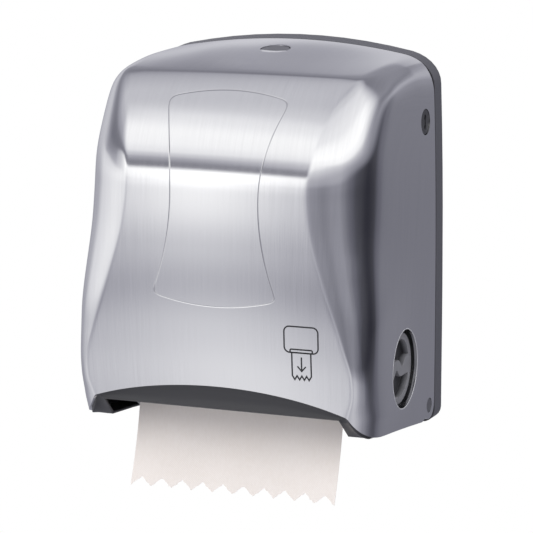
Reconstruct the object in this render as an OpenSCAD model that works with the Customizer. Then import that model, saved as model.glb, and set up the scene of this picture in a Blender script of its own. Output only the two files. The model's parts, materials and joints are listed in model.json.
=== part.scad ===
// Wall-mounted roll towel dispenser with a hinged cover, a feed drum with an inner knife and a paper roll.
// Frame: X to the right, Y towards the wall (wall plane at Y = 0), Z up from the middle of the wall screws.
// The cover skin is computed from one point rule, so the housing rim, the cover and the bezel always meet.

/* [Body] */
// Width of the housing at its widest
body_w = 292; // [280:1:310]
// Height of the housing
body_h = 364.8; // [356:1:400]
// Depth from the wall to the front of the cover
body_d = 216.3; // [212:1:240]
// Depth of the housing rim
rim_d = 20; // [16:1:24]
// Thickness of the back wall
back_wall = 3; // [2:0.5:4]
// Thickness of the cover skin
cover_wall = 3; // [2:0.5:3.5]
// Gap of the seam between the rim and the cover
seam_gap = 0.5; // [0.3:0.1:1]

/* [Paper] */
// Room beside the paper, on each side, for the frame, the crank and the knob
side_bay = 44.4; // [40:0.2:50]
// Thickness drawn for the towel
towel_t = 0.4; // [0.3:0.1:0.6]
// How far the torn edge hangs below the drum axis
towel_drop = 117; // [90:1:140]
// Depth of the body that a full paper roll leaves free
roll_room = 32.3; // [26:0.1:90]
// Height of the body that a full paper roll leaves free for the drum below and the latch above
roll_stack = 180.8; // [160:0.1:260]
// Free gap between the full roll and the paper on the drum
roll_gap = 20.2; // [10:0.1:40]
// Inner diameter of the roll core
core_d = 40; // [34:1:50]
// Number of teeth on the knife
teeth = 10; // [6:1:14]

/* [Mechanism] */
// Diameter of the feed drum
drum_d = 88; // [80:1:90]
// Diameter of the drum axle
axle_d = 12; // [8:1:14]
// Diameter of the pinch roller
pinch_d = 20; // [16:1:22]
// Thickness of the mechanism frames
frame_t = 3; // [2:0.5:4]
// Thickness of the roll arms
arm_t = 4; // [3:0.5:5]
// Diameter of the feed knob
knob_d = 67; // [56:1:70]
// Diameter of the knob hole in the cover
knob_hole_d = 74; // [72:1:80]

/* [Fittings] */
// Diameter of the hinge pin heads
pin_d = 14; // [12:0.5:16]
// Diameter of the lock disc
lock_d = 23.6; // [18:0.2:26]
// Width of the release button
button_w = 27.6; // [22:0.2:32]
// How far the release button goes down
button_travel = 4.5; // [4.2:0.1:5]
// Distance between the wall screws across
mount_w = 180; // [160:1:190]
// Distance between the wall screws upwards
mount_h = 220; // [200:1:240]
// Diameter of the wall screw holes
mount_hole_d = 6.4; // [5:0.2:7]
// Radial play of a turning fit
fit = 0.08; // [0.04:0.01:0.1]
// Free gap between parts that pass each other
free = 0.4; // [0.3:0.1:0.6]

/* [Hidden] */
$fn = 64;
kx = body_w / 292;
ky = (body_d - rim_d) / 196.3;
kz = body_h / 364.8;
foot = -body_h / 2;
seam = -rim_d - seam_gap;

// The paper fits the body
towel_w = body_w - 2 * side_bay;
// A full roll is as large as both the depth and the height of the body let it be
roll_d = min(body_d - roll_room, body_h - roll_stack);
roll_r = roll_d / 2;

// Main axes, measured from the wall and from the foot of the housing
hinge_y = -34.3;
hinge_z = foot + 20.4;
drum_y = -105.5;
drum_z = foot + 70.9;
drum_r = drum_d / 2;
web_in = 0.3;
web_r = drum_r + web_in;
roll_y = -back_wall - 7 - roll_r;
roll_z = drum_z + web_r + roll_gap + roll_r;
half_t = towel_w / 2;
frame_x = half_t + 6.4;
arm_x = half_t + 3;
knob_x = body_w / 2 - 8.5;
lock_y = -45.5;
lock_z = 110 * kz;
button_y = -65;

// Cover skin: a fan of sections about the seam line at fan_z above, level sections below
fan_z = 70 * kz;
side_draft = 0.03;
barrel = 1.56e-7;
corner_k = 1.05;
corner_t = 72;
top_edge = 99.1 * kz;
top_fwd = 127.5 * ky;
top_fall = 0.0675;
top_bow = 10.7;
top_bow_fall = 0.0605;
fan_crease = atan2(top_fwd, top_edge - top_fall * top_fwd);
arc_f = 65.46 * ky;
arc_u = -23.88 * kz;
n_side = 4;
n_corner = 7;
n_front = 5;
n_cols = n_side + n_corner + n_front;
fan_rows = concat([for (i = [0:5]) fan_crease * i / 6], [for (i = [0:10]) fan_crease + (90 - fan_crease) * i / 10]);
n_fan = len(fan_rows) - 1;
n_level = 14;
n_rows = n_fan + n_level;

// Half width of the front ribbon against the station: degrees in the fan, then millimetres down
ribbon = [[54.6, 114], [63, 105.4], [71.2, 97], [82.5, 90], [90, 87], [113, 88.4], [138, 92.5], [175, 103],
  [205, 113], [230, 121], [257, 129], [279, 129.5], [297, 124], [340, 113]];

function spot(tab, t, i = 0) = (i >= len(tab) - 2 || t < tab[i + 1][0]) ? i : spot(tab, t, i + 1);
function rise(tab, i) = let (a = max(0, i - 1), b = min(len(tab) - 1, i + 1))
  (tab[b][1] - tab[a][1]) / (tab[b][0] - tab[a][0]);
function curve(tab, t) = let (i = spot(tab, t), h = tab[i + 1][0] - tab[i][0], u = (t - tab[i][0]) / h)
  tab[i][1] * (2 * u * u * u - 3 * u * u + 1) + tab[i + 1][1] * (3 * u * u - 2 * u * u * u)
  + h * rise(tab, i) * (u * u * u - 2 * u * u + u) + h * rise(tab, i + 1) * (u * u * u - u * u);

function side_x(y, z, d = 0) = body_w / 2 + 0.1 - barrel * pow(max(0, z / kz + 150), 3) + side_draft * y - d;
function front_y(z) = -body_d + 0.0018 * z / kz + 0.00051 * pow(z / kz, 2);
function half_ribbon(phi, z) = kx * (phi < fan_crease ? 114
  : curve(ribbon, phi < 90 ? 54.6 + (phi - fan_crease) * 35.4 / (90 - fan_crease) : 90 + (fan_z - z) / kz));
function arc_rho(phi) = let (q = arc_f * sin(phi) + arc_u * cos(phi),
    f = top_fwd, u = top_edge - top_fall * top_fwd)
  q + sqrt(q * q + pow(f - arc_f, 2) + pow(u - arc_u, 2) - arc_f * arc_f - arc_u * arc_u);
function edge_rho(phi, z) = phi <= fan_crease ? top_edge / (cos(phi) + top_fall * sin(phi))
  : phi < 90 ? arc_rho(phi) : seam - front_y(z) + (arc_rho(90) - seam + front_y(fan_z)) * max(0, 1 - (fan_z - z) / 60);
function bow(phi) = phi < fan_crease ? top_bow + (3 - top_bow) * phi / fan_crease
  : 3 - 1.5 * (phi - fan_crease) / (90 - fan_crease);

// One point of the cover skin: column from the seam to the middle, fan angle, height, inset from the outside
function skin_pt(col, phi, z, d) = let (
    uy = -sin(phi), uz = cos(phi), a0 = half_ribbon(phi, z), rho = edge_rho(phi, z),
    r0 = rho - corner_k * (body_w / 2 - 6 - a0),
    w0 = side_x(seam + r0 * uy, z + r0 * uz), rs = rho - corner_k * (w0 - a0),
    a = a0 - 0.4 * d, ra = rho - d, w = side_x(seam + rs * uy, z + rs * uz, d),
    t = corner_t * (col - n_side) / n_corner, q = 1 - (col - n_side - n_corner) / n_front,
    r = col <= n_side ? rs * col / n_side
      : col <= n_side + n_corner ? rs + (ra - rs) * sin(t) / sin(corner_t) : ra + bow(phi) * (1 - q * q),
    x = col <= n_side ? side_x(seam + r * uy, z + r * uz, d)
      : col <= n_side + n_corner ? a + (w - a) * (cos(t) - cos(corner_t)) / (1 - cos(corner_t)) : a * q)
  [x, seam + r * uy, z + r * uz];

// Lower edge of the cover for each column: level sides, round corner, arched mouth
function edge_z(col) = let (s = (col - n_side) / n_corner, q = 1 - (col - n_side - n_corner) / n_front)
  foot + (col <= n_side ? 4 + 17.6 * col / n_side
    : col <= n_side + n_corner ? 21.6 + 23.8 * pow(s, 2.2) : 45.4 + 19.5 * (1 - q * q));

function half(col) = col <= n_cols ? col : 2 * n_cols - col;
function flip(p, col) = col <= n_cols ? p : [-p[0], p[1], p[2]];
function cover_pt(row, col, d) = let (c = half(col))
  flip(row <= n_fan ? skin_pt(c, fan_rows[row], fan_z, d)
    : skin_pt(c, 90, fan_z + (edge_z(c) - fan_z) * (row - n_fan) / n_level, d), col);

// Closed skin through a list of equal rings, with flat ends
module loft(rings) {
  n = len(rings[0]);
  m = len(rings);
  polyhedron([for (r = rings) each r], concat(
    [[for (i = [0:n - 1]) i]],
    [for (k = [0:m - 2], i = [0:n - 1]) each let (a = k * n + i, b = k * n + (i + 1) % n)
      [[a, b + n, b], [a, a + n, b + n]]],
    [[for (i = [n - 1:-1:0]) (m - 1) * n + i]]));
}

module xcyl(x0, x1, y, z, r, r2 = -1) {
  translate([x0, y, z]) rotate([0, 90, 0]) cylinder(h = x1 - x0, r1 = r, r2 = r2 < 0 ? r : r2);
}

module zcyl(x, y, z0, z1, r) {
  translate([x, y, z0]) cylinder(h = z1 - z0, r = r);
}

module ycyl(x, z, y0, y1, r) {
  translate([x, y1, z]) rotate([90, 0, 0]) cylinder(h = y1 - y0, r = r);
}

module box(x0, x1, y0, y1, z0, z1) {
  translate([x0, y0, z0]) cube([x1 - x0, y1 - y0, z1 - z0]);
}

// A plate cut in the Y-Z plane and extruded along X
module plate(x0, x1) {
  translate([x0, 0, 0]) rotate([90, 0, 90]) linear_extrude(x1 - x0) children();
}

module both() {
  children();
  mirror([1, 0, 0]) children();
}

// Rear housing
function rim_half(y, d) = let (w = side_x(y, foot + 12), ra = top_edge + top_fall * (y - seam) - d,
    bw = top_bow + top_bow_fall * (y - seam), a0 = 114 * kx,
    ws = side_x(y, fan_z + 70 * kz), rs = ra + d - corner_k * (ws - a0), wd = side_x(y, fan_z + rs, d), a = a0 - 0.4 * d)
  concat([for (i = [0:5]) [w - 12 + (12 - d) * sin(18 * i), foot + 12 - (12 - d) * cos(18 * i)]],
    [for (i = [1:8]) let (z = foot + 12 + (fan_z + rs - foot - 12) * i / 8) [side_x(y, z, d), z]],
    [for (i = [1:n_corner]) let (t = corner_t * i / n_corner)
      [a + (wd - a) * (cos(t) - cos(corner_t)) / (1 - cos(corner_t)), fan_z + rs + (ra - rs) * sin(t) / sin(corner_t)]],
    [for (i = [1:n_front]) let (q = 1 - i / n_front) [a * q, fan_z + ra + bw * (1 - q * q)]]);
function rim_ring(y, d) = let (h = rim_half(y, d), n = len(h))
  concat([for (p = h) [p[0], y, p[1]]], [for (i = [n - 2:-1:0]) [-h[i][0], y, h[i][1]]]);

keeper_z = 166 * kz;
module rear_housing() {
  color("dimgray") difference() {
    union() {
      difference() {
        loft([rim_ring(0, 0), rim_ring(-rim_d, 0), rim_ring(-rim_d, 4), rim_ring(-rim_d - 5, 4),
          rim_ring(-rim_d - 5, 6), rim_ring(-back_wall, 6)]);
        // The lip inside the cover stops above the hinges
        box(-body_w, body_w, -rim_d - 12, -rim_d, foot - 1, hinge_z + 32);
      }
      both() box(body_w / 2 - 13, body_w / 2 - 7.6, hinge_y, -back_wall + 0.5, hinge_z - 11, hinge_z + 11);
      both() xcyl(body_w / 2 - 13, body_w / 2 - 7.6, hinge_y, hinge_z, 11);
      box(-14, 14, -36, -back_wall + 0.5, keeper_z, keeper_z + 3);
      box(-14, 14, -36, -33, keeper_z - 6, keeper_z + 1);
      for (x = [-1, 1], z = [-1, 1])
        ycyl(x * mount_w / 2, z * mount_h / 2, -back_wall - 2, -back_wall + 0.5, mount_hole_d / 2 + 5);
      for (z = [-90, 0, 90] * kz) box(-body_w / 2 + 50, body_w / 2 - 50, -back_wall - 2, -back_wall + 0.5, z - 1, z + 1);
    }
    both() xcyl(body_w / 2 - 14, body_w / 2 - 7, hinge_y, hinge_z, pin_d / 2 - 3);
    for (x = [-1, 1], z = [-1, 1]) ycyl(x * mount_w / 2, z * mount_h / 2, -20, 1, mount_hole_d / 2);
    for (x = [-1, 1], z = screw_z) ycyl(x * screw_x, z, -20, -1.2, 1.6);
  }
}

module hinge_pins() {
  color("gray") both() {
    xcyl(body_w / 2 - 13, body_w / 2 - 7.1, hinge_y, hinge_z, pin_d / 2 - 3);
    xcyl(body_w / 2 - 7.1, side_x(hinge_y, hinge_z) - 0.4, hinge_y, hinge_z, pin_d / 2);
  }
}

// Cover
module cover_shell() {
  n = 2 * n_cols;
  w = n + 1;
  size = w * (n_rows + 1);
  // In the fan the first and last column are one point each, the pole on the seam
  function id(r, c, side) = side * size + ((r < n_fan && (c == 0 || c == n)) ? n_fan : r) * w + c;
  function tri(a, b, c) = (a == b || b == c || a == c) ? [] : [[a, b, c]];
  function quad(a, b, c, d) = concat(tri(a, b, c), tri(a, c, d));
  polyhedron(
    [for (side = [0, 1], r = [0:n_rows], c = [0:n]) cover_pt(r, c, side * cover_wall)],
    concat(
      [for (r = [0:n_rows - 1], c = [0:n - 1])
        each quad(id(r, c, 0), id(r + 1, c, 0), id(r + 1, c + 1, 0), id(r, c + 1, 0))],
      [for (r = [0:n_rows - 1], c = [0:n - 1])
        each quad(id(r, c, 1), id(r, c + 1, 1), id(r + 1, c + 1, 1), id(r + 1, c, 1))],
      [for (c = [0:n - 1]) each quad(id(0, c, 0), id(0, c + 1, 0), id(0, c + 1, 1), id(0, c, 1))],
      [for (c = [0:n - 1]) each quad(id(n_rows, c, 0), id(n_rows, c, 1), id(n_rows, c + 1, 1), id(n_rows, c + 1, 0))],
      [for (r = [n_fan:n_rows - 1]) each quad(id(r, 0, 0), id(r, 0, 1), id(r + 1, 0, 1), id(r + 1, 0, 0))],
      [for (r = [n_fan:n_rows - 1]) each quad(id(r, n, 0), id(r + 1, n, 0), id(r + 1, n, 1), id(r, n, 1))]));
}

// Half moon of the release button, grown by a gap
module half_moon(gap) {
  intersection() {
    circle(r = button_w / 2 + gap);
    translate([-button_w, -5 - gap]) square([2 * button_w, button_w + 10]);
  }
}

lock_in = side_x(lock_y, lock_z, cover_wall);
pin_in = body_w / 2 - 7.1;
corner_r = seam - hinge_y - 0.4;
top_z = fan_z + top_edge + top_bow + (top_fall + top_bow_fall) * (button_y - seam);
module front_cover() {
  color("silver") difference() {
    union() {
      cover_shell();
      both() xcyl(pin_in, side_x(hinge_y, hinge_z) - 1.5, hinge_y, hinge_z, pin_d / 2 + 4.5);
      xcyl(lock_in - 5, lock_in + 1, lock_y, lock_z, lock_d / 2 + 6);
    }
    both() xcyl(body_w / 2 - 20, body_w / 2 + 5, hinge_y, hinge_z, pin_d / 2 + fit);
    xcyl(lock_in - 6, lock_in + 9, lock_y, lock_z, lock_d / 2 + free);
    xcyl(lock_in - 6, lock_in - 0.9, lock_y, lock_z, lock_d / 2 + 2.5 + free);
    xcyl(knob_x - 20, body_w, drum_y, drum_z, knob_hole_d / 2);
    translate([0, button_y, top_z - 20]) linear_extrude(40) half_moon(0.5);
    translate([0, button_y, top_z + 178.6]) sphere(r = 180, $fn = 180);
    // The lower rear corners are round about the hinge, so that the open cover clears the rim
    both() plate(body_w / 2 - 20, body_w / 2 + 5) difference() {
      translate([hinge_y - 28, hinge_z - 40]) square([68, 40]);
      translate([hinge_y, hinge_z]) circle(r = corner_r);
      translate([hinge_y, hinge_z]) polygon([[-29, 1], [0, 1], [0, 0],
        [-0.8 * corner_r * cos(50), -0.8 * corner_r * sin(50)], [-29, -14.2]]);
    }
  }
}

// Mouth bezel: rings across the band between the arched edge of the cover and the slot
lip_y = front_y(0) + 12.3;
lip_z = foot + 41.8;
function slot_edge(c, o) = c >= n_side + n_corner
  ? [115 * kx * (1 - (c - n_side - n_corner) / n_front), lip_y, lip_z]
  : c < n_side ? [116.5 * kx, o[1] + 4.4 * (c - 1) / (n_side - 1), edge_z(c) + 0.8]
  : let (s = (n_side + n_corner - c) / n_corner) [(115 + 1.5 * s) * kx, lip_y + 21.4 * s, lip_z - 19.4 * s];
function bezel_half(c) = let (gap = cover_wall + free, z = edge_z(c),
    o = skin_pt(c, 90, z + 0.2, gap), e = slot_edge(c, o), w = norm(e - o), back = [0, 1.6, 2],
    oi = skin_pt(c, 90, z + 4, gap + 2.2), sag = [0, 0.8, 0.35] * w * 0.75 * max(0, min(1, (c - n_side) / 5)),
    face = [for (i = [0:4]) let (t = i / 4) o + (e - o) * t + sag * t * (1 - t)],
    inner = [for (i = [4:-1:1]) let (t = i / 4) oi + (e + back - oi) * t + sag * t * (1 - t)],
    ring = concat(face, inner, [oi], [skin_pt(c, 90, z + 11, gap + 2.2), skin_pt(c, 90, z + 11, gap)]))
  c > 1 ? ring : [for (p = ring) [p[0], o[1], p[2]]];
module throat_bezel() {
  color("dimgray") loft([for (c = [1:2 * n_cols - 1]) [for (p = bezel_half(half(c))) flip(p, c)]]);
}

// Release button with its hook, sliding down in the cover
plate_z = top_z - 18;
module release_button() {
  stem_z = keeper_z - 14;
  color("dimgray") {
    difference() {
      translate([0, button_y, plate_z + 9.5]) linear_extrude(12) half_moon(0);
      translate([0, button_y, top_z + 0.2]) rotate([atan(top_fall + top_bow_fall), 0, 0])
        translate([-40, -40, 0]) cube([80, 80, 30]);
    }
    box(-4, 4, button_y - 3, button_y + 3, stem_z, plate_z + 9.5);
    box(-8, 8, button_y - 3, -26.5, stem_z, stem_z + 3.5);
    box(-8, 8, -30, -26.5, stem_z + 3.5, keeper_z - 2.4);
  }
}

module latch_guide() {
  color("gray") difference() {
    union() {
      box(-24, 24, button_y - 8, button_y + 8, plate_z, plate_z + 2.5);
      both() box(19, 24, button_y - 8, button_y + 8, plate_z + 2.5, top_z - cover_wall - 2.4);
    }
    box(-4 - free, 4 + free, button_y - 3 - free, button_y + 3 + free, plate_z - 1, plate_z + 4);
  }
}

// A round wire along a path, carried without twist, six sides
function unit(v) = v / norm(v);
function ways(p) = [for (i = [0:len(p) - 1]) unit(p[min(i + 1, len(p) - 1)] - p[max(i - 1, 0)])];
function carry(t, n0) = [for (i = 0, n = unit(n0 - (n0 * t[0]) * t[0]); i < len(t);
  i = i + 1, n = i < len(t) ? unit(n - (n * t[i]) * t[i]) : n) n];
module wire(path, r) {
  t = ways(path);
  n = carry(t, [0.3, 0.2, 0.9]);
  loft([for (i = [0:len(path) - 1]) [for (k = [0:5])
    path[i] + r * (cos(60 * k) * n[i] + sin(60 * k) * cross(t[i], n[i]))]]);
}

// Points of a coil about Z, eight a turn
function coil_path(r, turns, z0, z1) = [for (i = [0:8 * turns])
  [r * cos(45 * i), r * sin(45 * i), z0 + (z1 - z0) * i / (8 * turns)]];

module button_spring() {
  turns = 3;
  color("silver") translate([0, button_y, plate_z]) wire(coil_path(6.4, turns, 3.2, 8.6), 0.45);
  echo(button_spring_gap = 5.4 / turns - 0.9);
}

// Key lock
module lock_barrel() {
  color("dimgray") difference() {
    union() {
      xcyl(lock_in - 1.4, side_x(lock_y, lock_z) - 0.5, lock_y, lock_z, lock_d / 2);
      xcyl(lock_in - 4.9, lock_in - 1.4, lock_y, lock_z, lock_d / 2 + 2.5);
      xcyl(lock_in - 11, lock_in - 4.9, lock_y, lock_z, 6);
    }
    box(lock_in + 0.8, lock_in + 9, lock_y - 1.5, lock_y + 1.5, lock_z - 7, lock_z + 7);
    for (z = [-4.4, 4.4]) xcyl(lock_in - 0.6, lock_in + 9, lock_y, lock_z + z, 2.4);
  }
}

module lock_cam() {
  color("silver") difference() {
    plate(lock_in - 10.6, lock_in - 8.6) {
      translate([lock_y, lock_z]) circle(r = 9);
      translate([lock_y - 5, lock_z]) square([10, 22]);
    }
    xcyl(lock_in - 12, lock_in, lock_y, lock_z, 6);
  }
}

module lock_clip() {
  color("gray") difference() {
    xcyl(lock_in - 7.4, lock_in - 5, lock_y, lock_z, lock_d / 2 + 6);
    xcyl(lock_in - 8, lock_in - 4, lock_y, lock_z, 6 + fit);
  }
}

// Mechanism frames
screw_x = frame_x + frame_t + 7;
screw_z = [drum_z - 26, drum_z + 26, roll_z - 16, roll_z + 16];
pinch_c = drum_r + 1 + pinch_d / 2;
pinch_y = drum_y - pinch_c * cos(45);
pinch_z = drum_z + pinch_c * sin(45);
post_y = -42;
post_z = drum_z + 38;
module frame_plate() {
  difference() {
    union() {
      plate(frame_x, frame_x + frame_t) polygon([[-back_wall, foot + 14], [-60, foot + 13], [-126, foot + 15],
        [-148, foot + 30], [-159, foot + 62], [-161, pinch_z - 4], [-155, pinch_z + 11], [-138, pinch_z + 13],
        [-90, drum_z + 50], [-back_wall, drum_z + 44]]);
      box(frame_x, frame_x + frame_t + 13, -back_wall - 3, -back_wall, drum_z - 38, drum_z + 38);
    }
    xcyl(frame_x - 1, frame_x + 9, drum_y, drum_z, 9);
    xcyl(frame_x - 1, frame_x + 9, pinch_y, pinch_z, 3 + fit);
    for (z = [drum_z - 26, drum_z + 26]) ycyl(screw_x, z, -12, 0, 2);
    for (a = [40:70:250]) xcyl(frame_x - 1, frame_x + 9, drum_y + 34 * cos(a) + 4, drum_z + 34 * sin(a), 6);
  }
}

module right_frame() {
  color("dimgray") frame_plate();
}

module left_frame() {
  color("dimgray") {
    mirror([1, 0, 0]) frame_plate();
    xcyl(-frame_x - frame_t - 18, -frame_x - frame_t, post_y, post_z, 3.5);
  }
}

module tie_rods() {
  color("silver") for (z = [drum_z - 40, drum_z + 38]) xcyl(-frame_x, frame_x, -22, z, 4);
}

module frame_screws() {
  color("silver") for (x = [-1, 1], z = screw_z) {
    ycyl(x * screw_x, z, -back_wall - 3, -1.2, 1.6);
    ycyl(x * screw_x, z, -back_wall - 5, -back_wall - 3, 3.4);
  }
}

guard_r = drum_r + 12;
module drum_guard() {
  color("dimgray") intersection() {
    difference() {
      xcyl(-frame_x, frame_x, drum_y, drum_z, guard_r + 2.4);
      xcyl(-frame_x - 1, frame_x + 1, drum_y, drum_z, guard_r);
    }
    plate(-frame_x, frame_x) polygon([for (a = concat([0], [for (i = [0:6]) -75 - 15 * i]))
      a == 0 ? [drum_y, drum_z] : [drum_y - 90 * cos(a), drum_z + 90 * sin(a)]]);
  }
}

module drum_bushes() {
  color("white") both() difference() {
    union() {
      xcyl(frame_x - 1.2, frame_x + frame_t, drum_y, drum_z, 9);
      xcyl(frame_x + frame_t, frame_x + frame_t + 1.6, drum_y, drum_z, 12);
    }
    xcyl(frame_x - 3, frame_x + 9, drum_y, drum_z, axle_d / 2 + fit);
  }
}

// Feed drum: the knife slot looks up and to the rear at rest
slot_turn = -30;
drum_l = half_t + 1.6;
skin_r = drum_r - 0.4;
module at_drum() {
  translate([0, drum_y, drum_z]) rotate([slot_turn, 0, 0]) children();
}

module knife_slot() {
  at_drum() box(-half_t + 1, half_t - 1, -15.5, 10.5, 25, 60);
}

module feed_drum() {
  color("gray") difference() {
    xcyl(-drum_l, drum_l, drum_y, drum_z, skin_r);
    xcyl(-drum_l + 3.5, drum_l - 3.5, drum_y, drum_z, skin_r - 3);
    xcyl(-drum_l - 1, drum_l + 1, drum_y, drum_z, axle_d / 2);
    knife_slot();
    at_drum() xcyl(-drum_l - 1, drum_l + 1, -20, 20, 3 + fit);
  }
}

band_w = 16;
band_pitch = 2 * half_t / 6;
module grip_bands() {
  color("dimgray") difference() {
    for (i = [-2.5:2.5])
      xcyl(i * band_pitch - band_w / 2, i * band_pitch + band_w / 2, drum_y, drum_z, drum_r);
    xcyl(-drum_l - 1, drum_l + 1, drum_y, drum_z, skin_r + 0.05);
    knife_slot();
  }
}

module drum_axle() {
  color("silver") xcyl(-frame_x - frame_t - 9.8, knob_x - 8, drum_y, drum_z, axle_d / 2);
}

// Feed knob: two finger scoops on either side of an S-shaped bar
module scoop() {
  r = knob_d / 2 - 4.5;
  intersection() {
    circle(r = r);
    difference() {
      union() {
        translate([-r, -r]) square([r - 5, 2 * r]);
        translate([-5, 0.48 * r]) circle(r = 0.27 * r);
      }
      translate([-5, -0.42 * r]) circle(r = 0.27 * r);
    }
  }
}

module feed_knob() {
  color("dimgray") difference() {
    union() {
      xcyl(knob_x - 13, knob_x - 1.5, drum_y, drum_z, knob_d / 2);
      xcyl(knob_x - 1.5, knob_x, drum_y, drum_z, knob_d / 2, knob_d / 2 - 1.5);
      xcyl(frame_x + frame_t + 4, knob_x - 13, drum_y, drum_z, axle_d / 2 + 5);
    }
    xcyl(frame_x, knob_x - 8, drum_y, drum_z, axle_d / 2);
    translate([0, drum_y, drum_z]) for (a = [-90, 90]) rotate([a, 0, 0])
      plate(knob_x - 7, knob_x + 1) scoop();
  }
}

// Crank and return spring at the other end of the axle
crank_x = -frame_x - frame_t - 4;
crank_a = atan2(post_z - drum_z, post_y - drum_y);
module crank_disc() {
  color("gray") difference() {
    union() {
      xcyl(crank_x - 6, crank_x, drum_y, drum_z, 23);
      xcyl(crank_x - 13, crank_x - 6, drum_y + 16 * cos(crank_a), drum_z + 16 * sin(crank_a), 3);
    }
    xcyl(crank_x - 20, crank_x + 9, drum_y, drum_z, axle_d / 2);
  }
}

module return_spring() {
  far = norm([post_y - drum_y, post_z - drum_z]) - 16;
  turns = 15;
  low = [for (i = [0:7]) let (a = -210 + 30 * i) [0, 4.4 * cos(a), 4.4 * sin(a)]];
  high = [for (i = [0:7]) let (a = 180 - 30 * i) [0, 4.4 * cos(a), far + 5.4 * sin(a)]];
  path = concat(low, [[1.6, 3.6, 3.2]], coil_path(4.2, turns, 8, far - 8), [[2.6, -2.4, far - 5.4]], high);
  color("silver") translate([crank_x - 11.2, drum_y + 16 * cos(crank_a), drum_z + 16 * sin(crank_a)])
    rotate([crank_a - 90, 0, 0]) wire(path, 0.7);
  echo(return_spring_gap = (far - 16) / turns - 1.4);
}

// Knife inside the drum, on a shaft in the drum ends
module at_knife() {
  at_drum() translate([0, -20, 20]) rotate([-57, 0, 0]) children();
}

module knife_carrier() {
  color("gray") {
    at_knife() xcyl(-drum_l + 0.2, drum_l - 0.2, 0, 0, 3);
    at_knife() difference() {
      box(-half_t + 4, half_t - 4, -1.5, 1.5, 1, 24);
      for (i = [-2:2]) ycyl(i * 40, 18, -4, 4, 1.5);
    }
  }
}

blade_l = half_t - 4;
pitch = 2 * blade_l / teeth;
module knife_blade() {
  color("silver") at_knife() translate([0, 2.5, 0]) rotate([90, 0, 0]) linear_extrude(1) difference() {
    polygon(concat([[-blade_l, 12], [blade_l, 12]],
      [for (i = [2 * teeth:-1:0]) [-blade_l + pitch * i / 2, i % 2 == 1 ? 33.3 : 25.5]]));
    for (i = [-2:2]) translate([i * 40, 18]) circle(r = 1.5);
  }
}

module blade_screws() {
  color("silver") at_knife() for (i = [-2:2]) {
    ycyl(i * 40, 18, -1.5, 2.5, 1.5);
    ycyl(i * 40, 18, 2.5, 3.6, 2.8);
  }
}

// Pinch roller
module pinch_shaft() {
  color("silver") xcyl(-frame_x - frame_t - 4, frame_x + frame_t + 4, pinch_y, pinch_z, 3);
}

sleeve_gap = 10;
sleeve_edge = 10.6;
sleeve_pitch = (2 * (half_t - sleeve_edge) + sleeve_gap) / 4;
sleeve_l = sleeve_pitch - sleeve_gap;
module pinch_sleeves() {
  color("dimgray") for (i = [-1.5:1.5]) difference() {
    xcyl(i * sleeve_pitch - sleeve_l / 2, i * sleeve_pitch + sleeve_l / 2, pinch_y, pinch_z, pinch_d / 2);
    xcyl(-half_t, half_t, pinch_y, pinch_z, 3);
  }
}

module pinch_springs() {
  color("silver") both() {
    box(frame_x + frame_t, frame_x + frame_t + 6, pinch_y - 4, pinch_y + 18, pinch_z + 3.4, pinch_z + 4.2);
    box(frame_x + frame_t, frame_x + frame_t + 6, pinch_y + 18, pinch_y + 18.8, pinch_z - 8, pinch_z + 4.2);
  }
}

// Roll arms
module arm_outline() {
  polygon([[-back_wall - 16, roll_z - 22], [roll_y, roll_z - 15], [roll_y, roll_z + 15], [-back_wall - 16, roll_z + 22]]);
  translate([roll_y, roll_z]) circle(r = 15);
}

module right_arm() {
  color("gray") difference() {
    union() {
      plate(arm_x, arm_x + arm_t) arm_outline();
      box(arm_x, arm_x + arm_t, -back_wall - 16.5, -back_wall, roll_z - 22, roll_z + 22);
      box(arm_x, screw_x + 6, -back_wall - 3, -back_wall, roll_z - 26, roll_z + 26);
    }
    for (z = [roll_z - 16, roll_z + 16]) ycyl(screw_x, z, -12, 0, 2);
  }
}

module hub() {
  xcyl(arm_x - 2.4, arm_x, roll_y, roll_z, core_d / 2 + 5);
  translate([arm_x - 2.4, roll_y, roll_z]) rotate([0, -90, 0])
    cylinder(h = 13, r1 = core_d / 2 - 0.5, r2 = core_d / 2 - 6);
}

module right_hub() {
  color("white") hub();
}

module left_hub() {
  color("white") mirror([1, 0, 0]) hub();
}

arm_pin_x = -arm_x - arm_t / 2 - 3.4;
arm_pin_y = -back_wall - 9;
module left_arm() {
  color("gray") difference() {
    union() {
      plate(-arm_x - arm_t, -arm_x) arm_outline();
      box(arm_pin_x, -arm_x, arm_pin_y - 8, arm_pin_y, roll_z - 22, roll_z + 22);
      zcyl(arm_pin_x, arm_pin_y, roll_z - 22, roll_z + 22, 6);
    }
    zcyl(arm_pin_x, arm_pin_y, roll_z - 30, roll_z + 30, 3 + fit);
  }
}

module arm_pin() {
  color("silver") zcyl(arm_pin_x, arm_pin_y, roll_z - 30, roll_z + 30, 3);
}

module arm_bracket() {
  color("dimgray") difference() {
    union() {
      box(-screw_x - 6, arm_pin_x + 6, -back_wall - 2.2, -back_wall, roll_z - 29, roll_z + 29);
      box(-screw_x - 6, -screw_x + 6, -back_wall - 3, -back_wall, roll_z - 29, roll_z + 29);
      for (z = [roll_z - 29, roll_z + 22.6]) {
        zcyl(arm_pin_x, arm_pin_y, z, z + 6.4, 6);
        box(arm_pin_x - 6, arm_pin_x + 6, arm_pin_y, -back_wall, z, z + 6.4);
      }
    }
    zcyl(arm_pin_x, arm_pin_y, roll_z - 40, roll_z + 40, 3);
    for (z = [roll_z - 16, roll_z + 16]) ycyl(-screw_x, z, -12, 0, 2);
  }
}

// Paper
module roll_core() {
  color("tan") difference() {
    xcyl(-half_t, half_t, roll_y, roll_z, core_d / 2 + 2);
    xcyl(-half_t - 1, half_t + 1, roll_y, roll_z, core_d / 2);
  }
}

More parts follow.
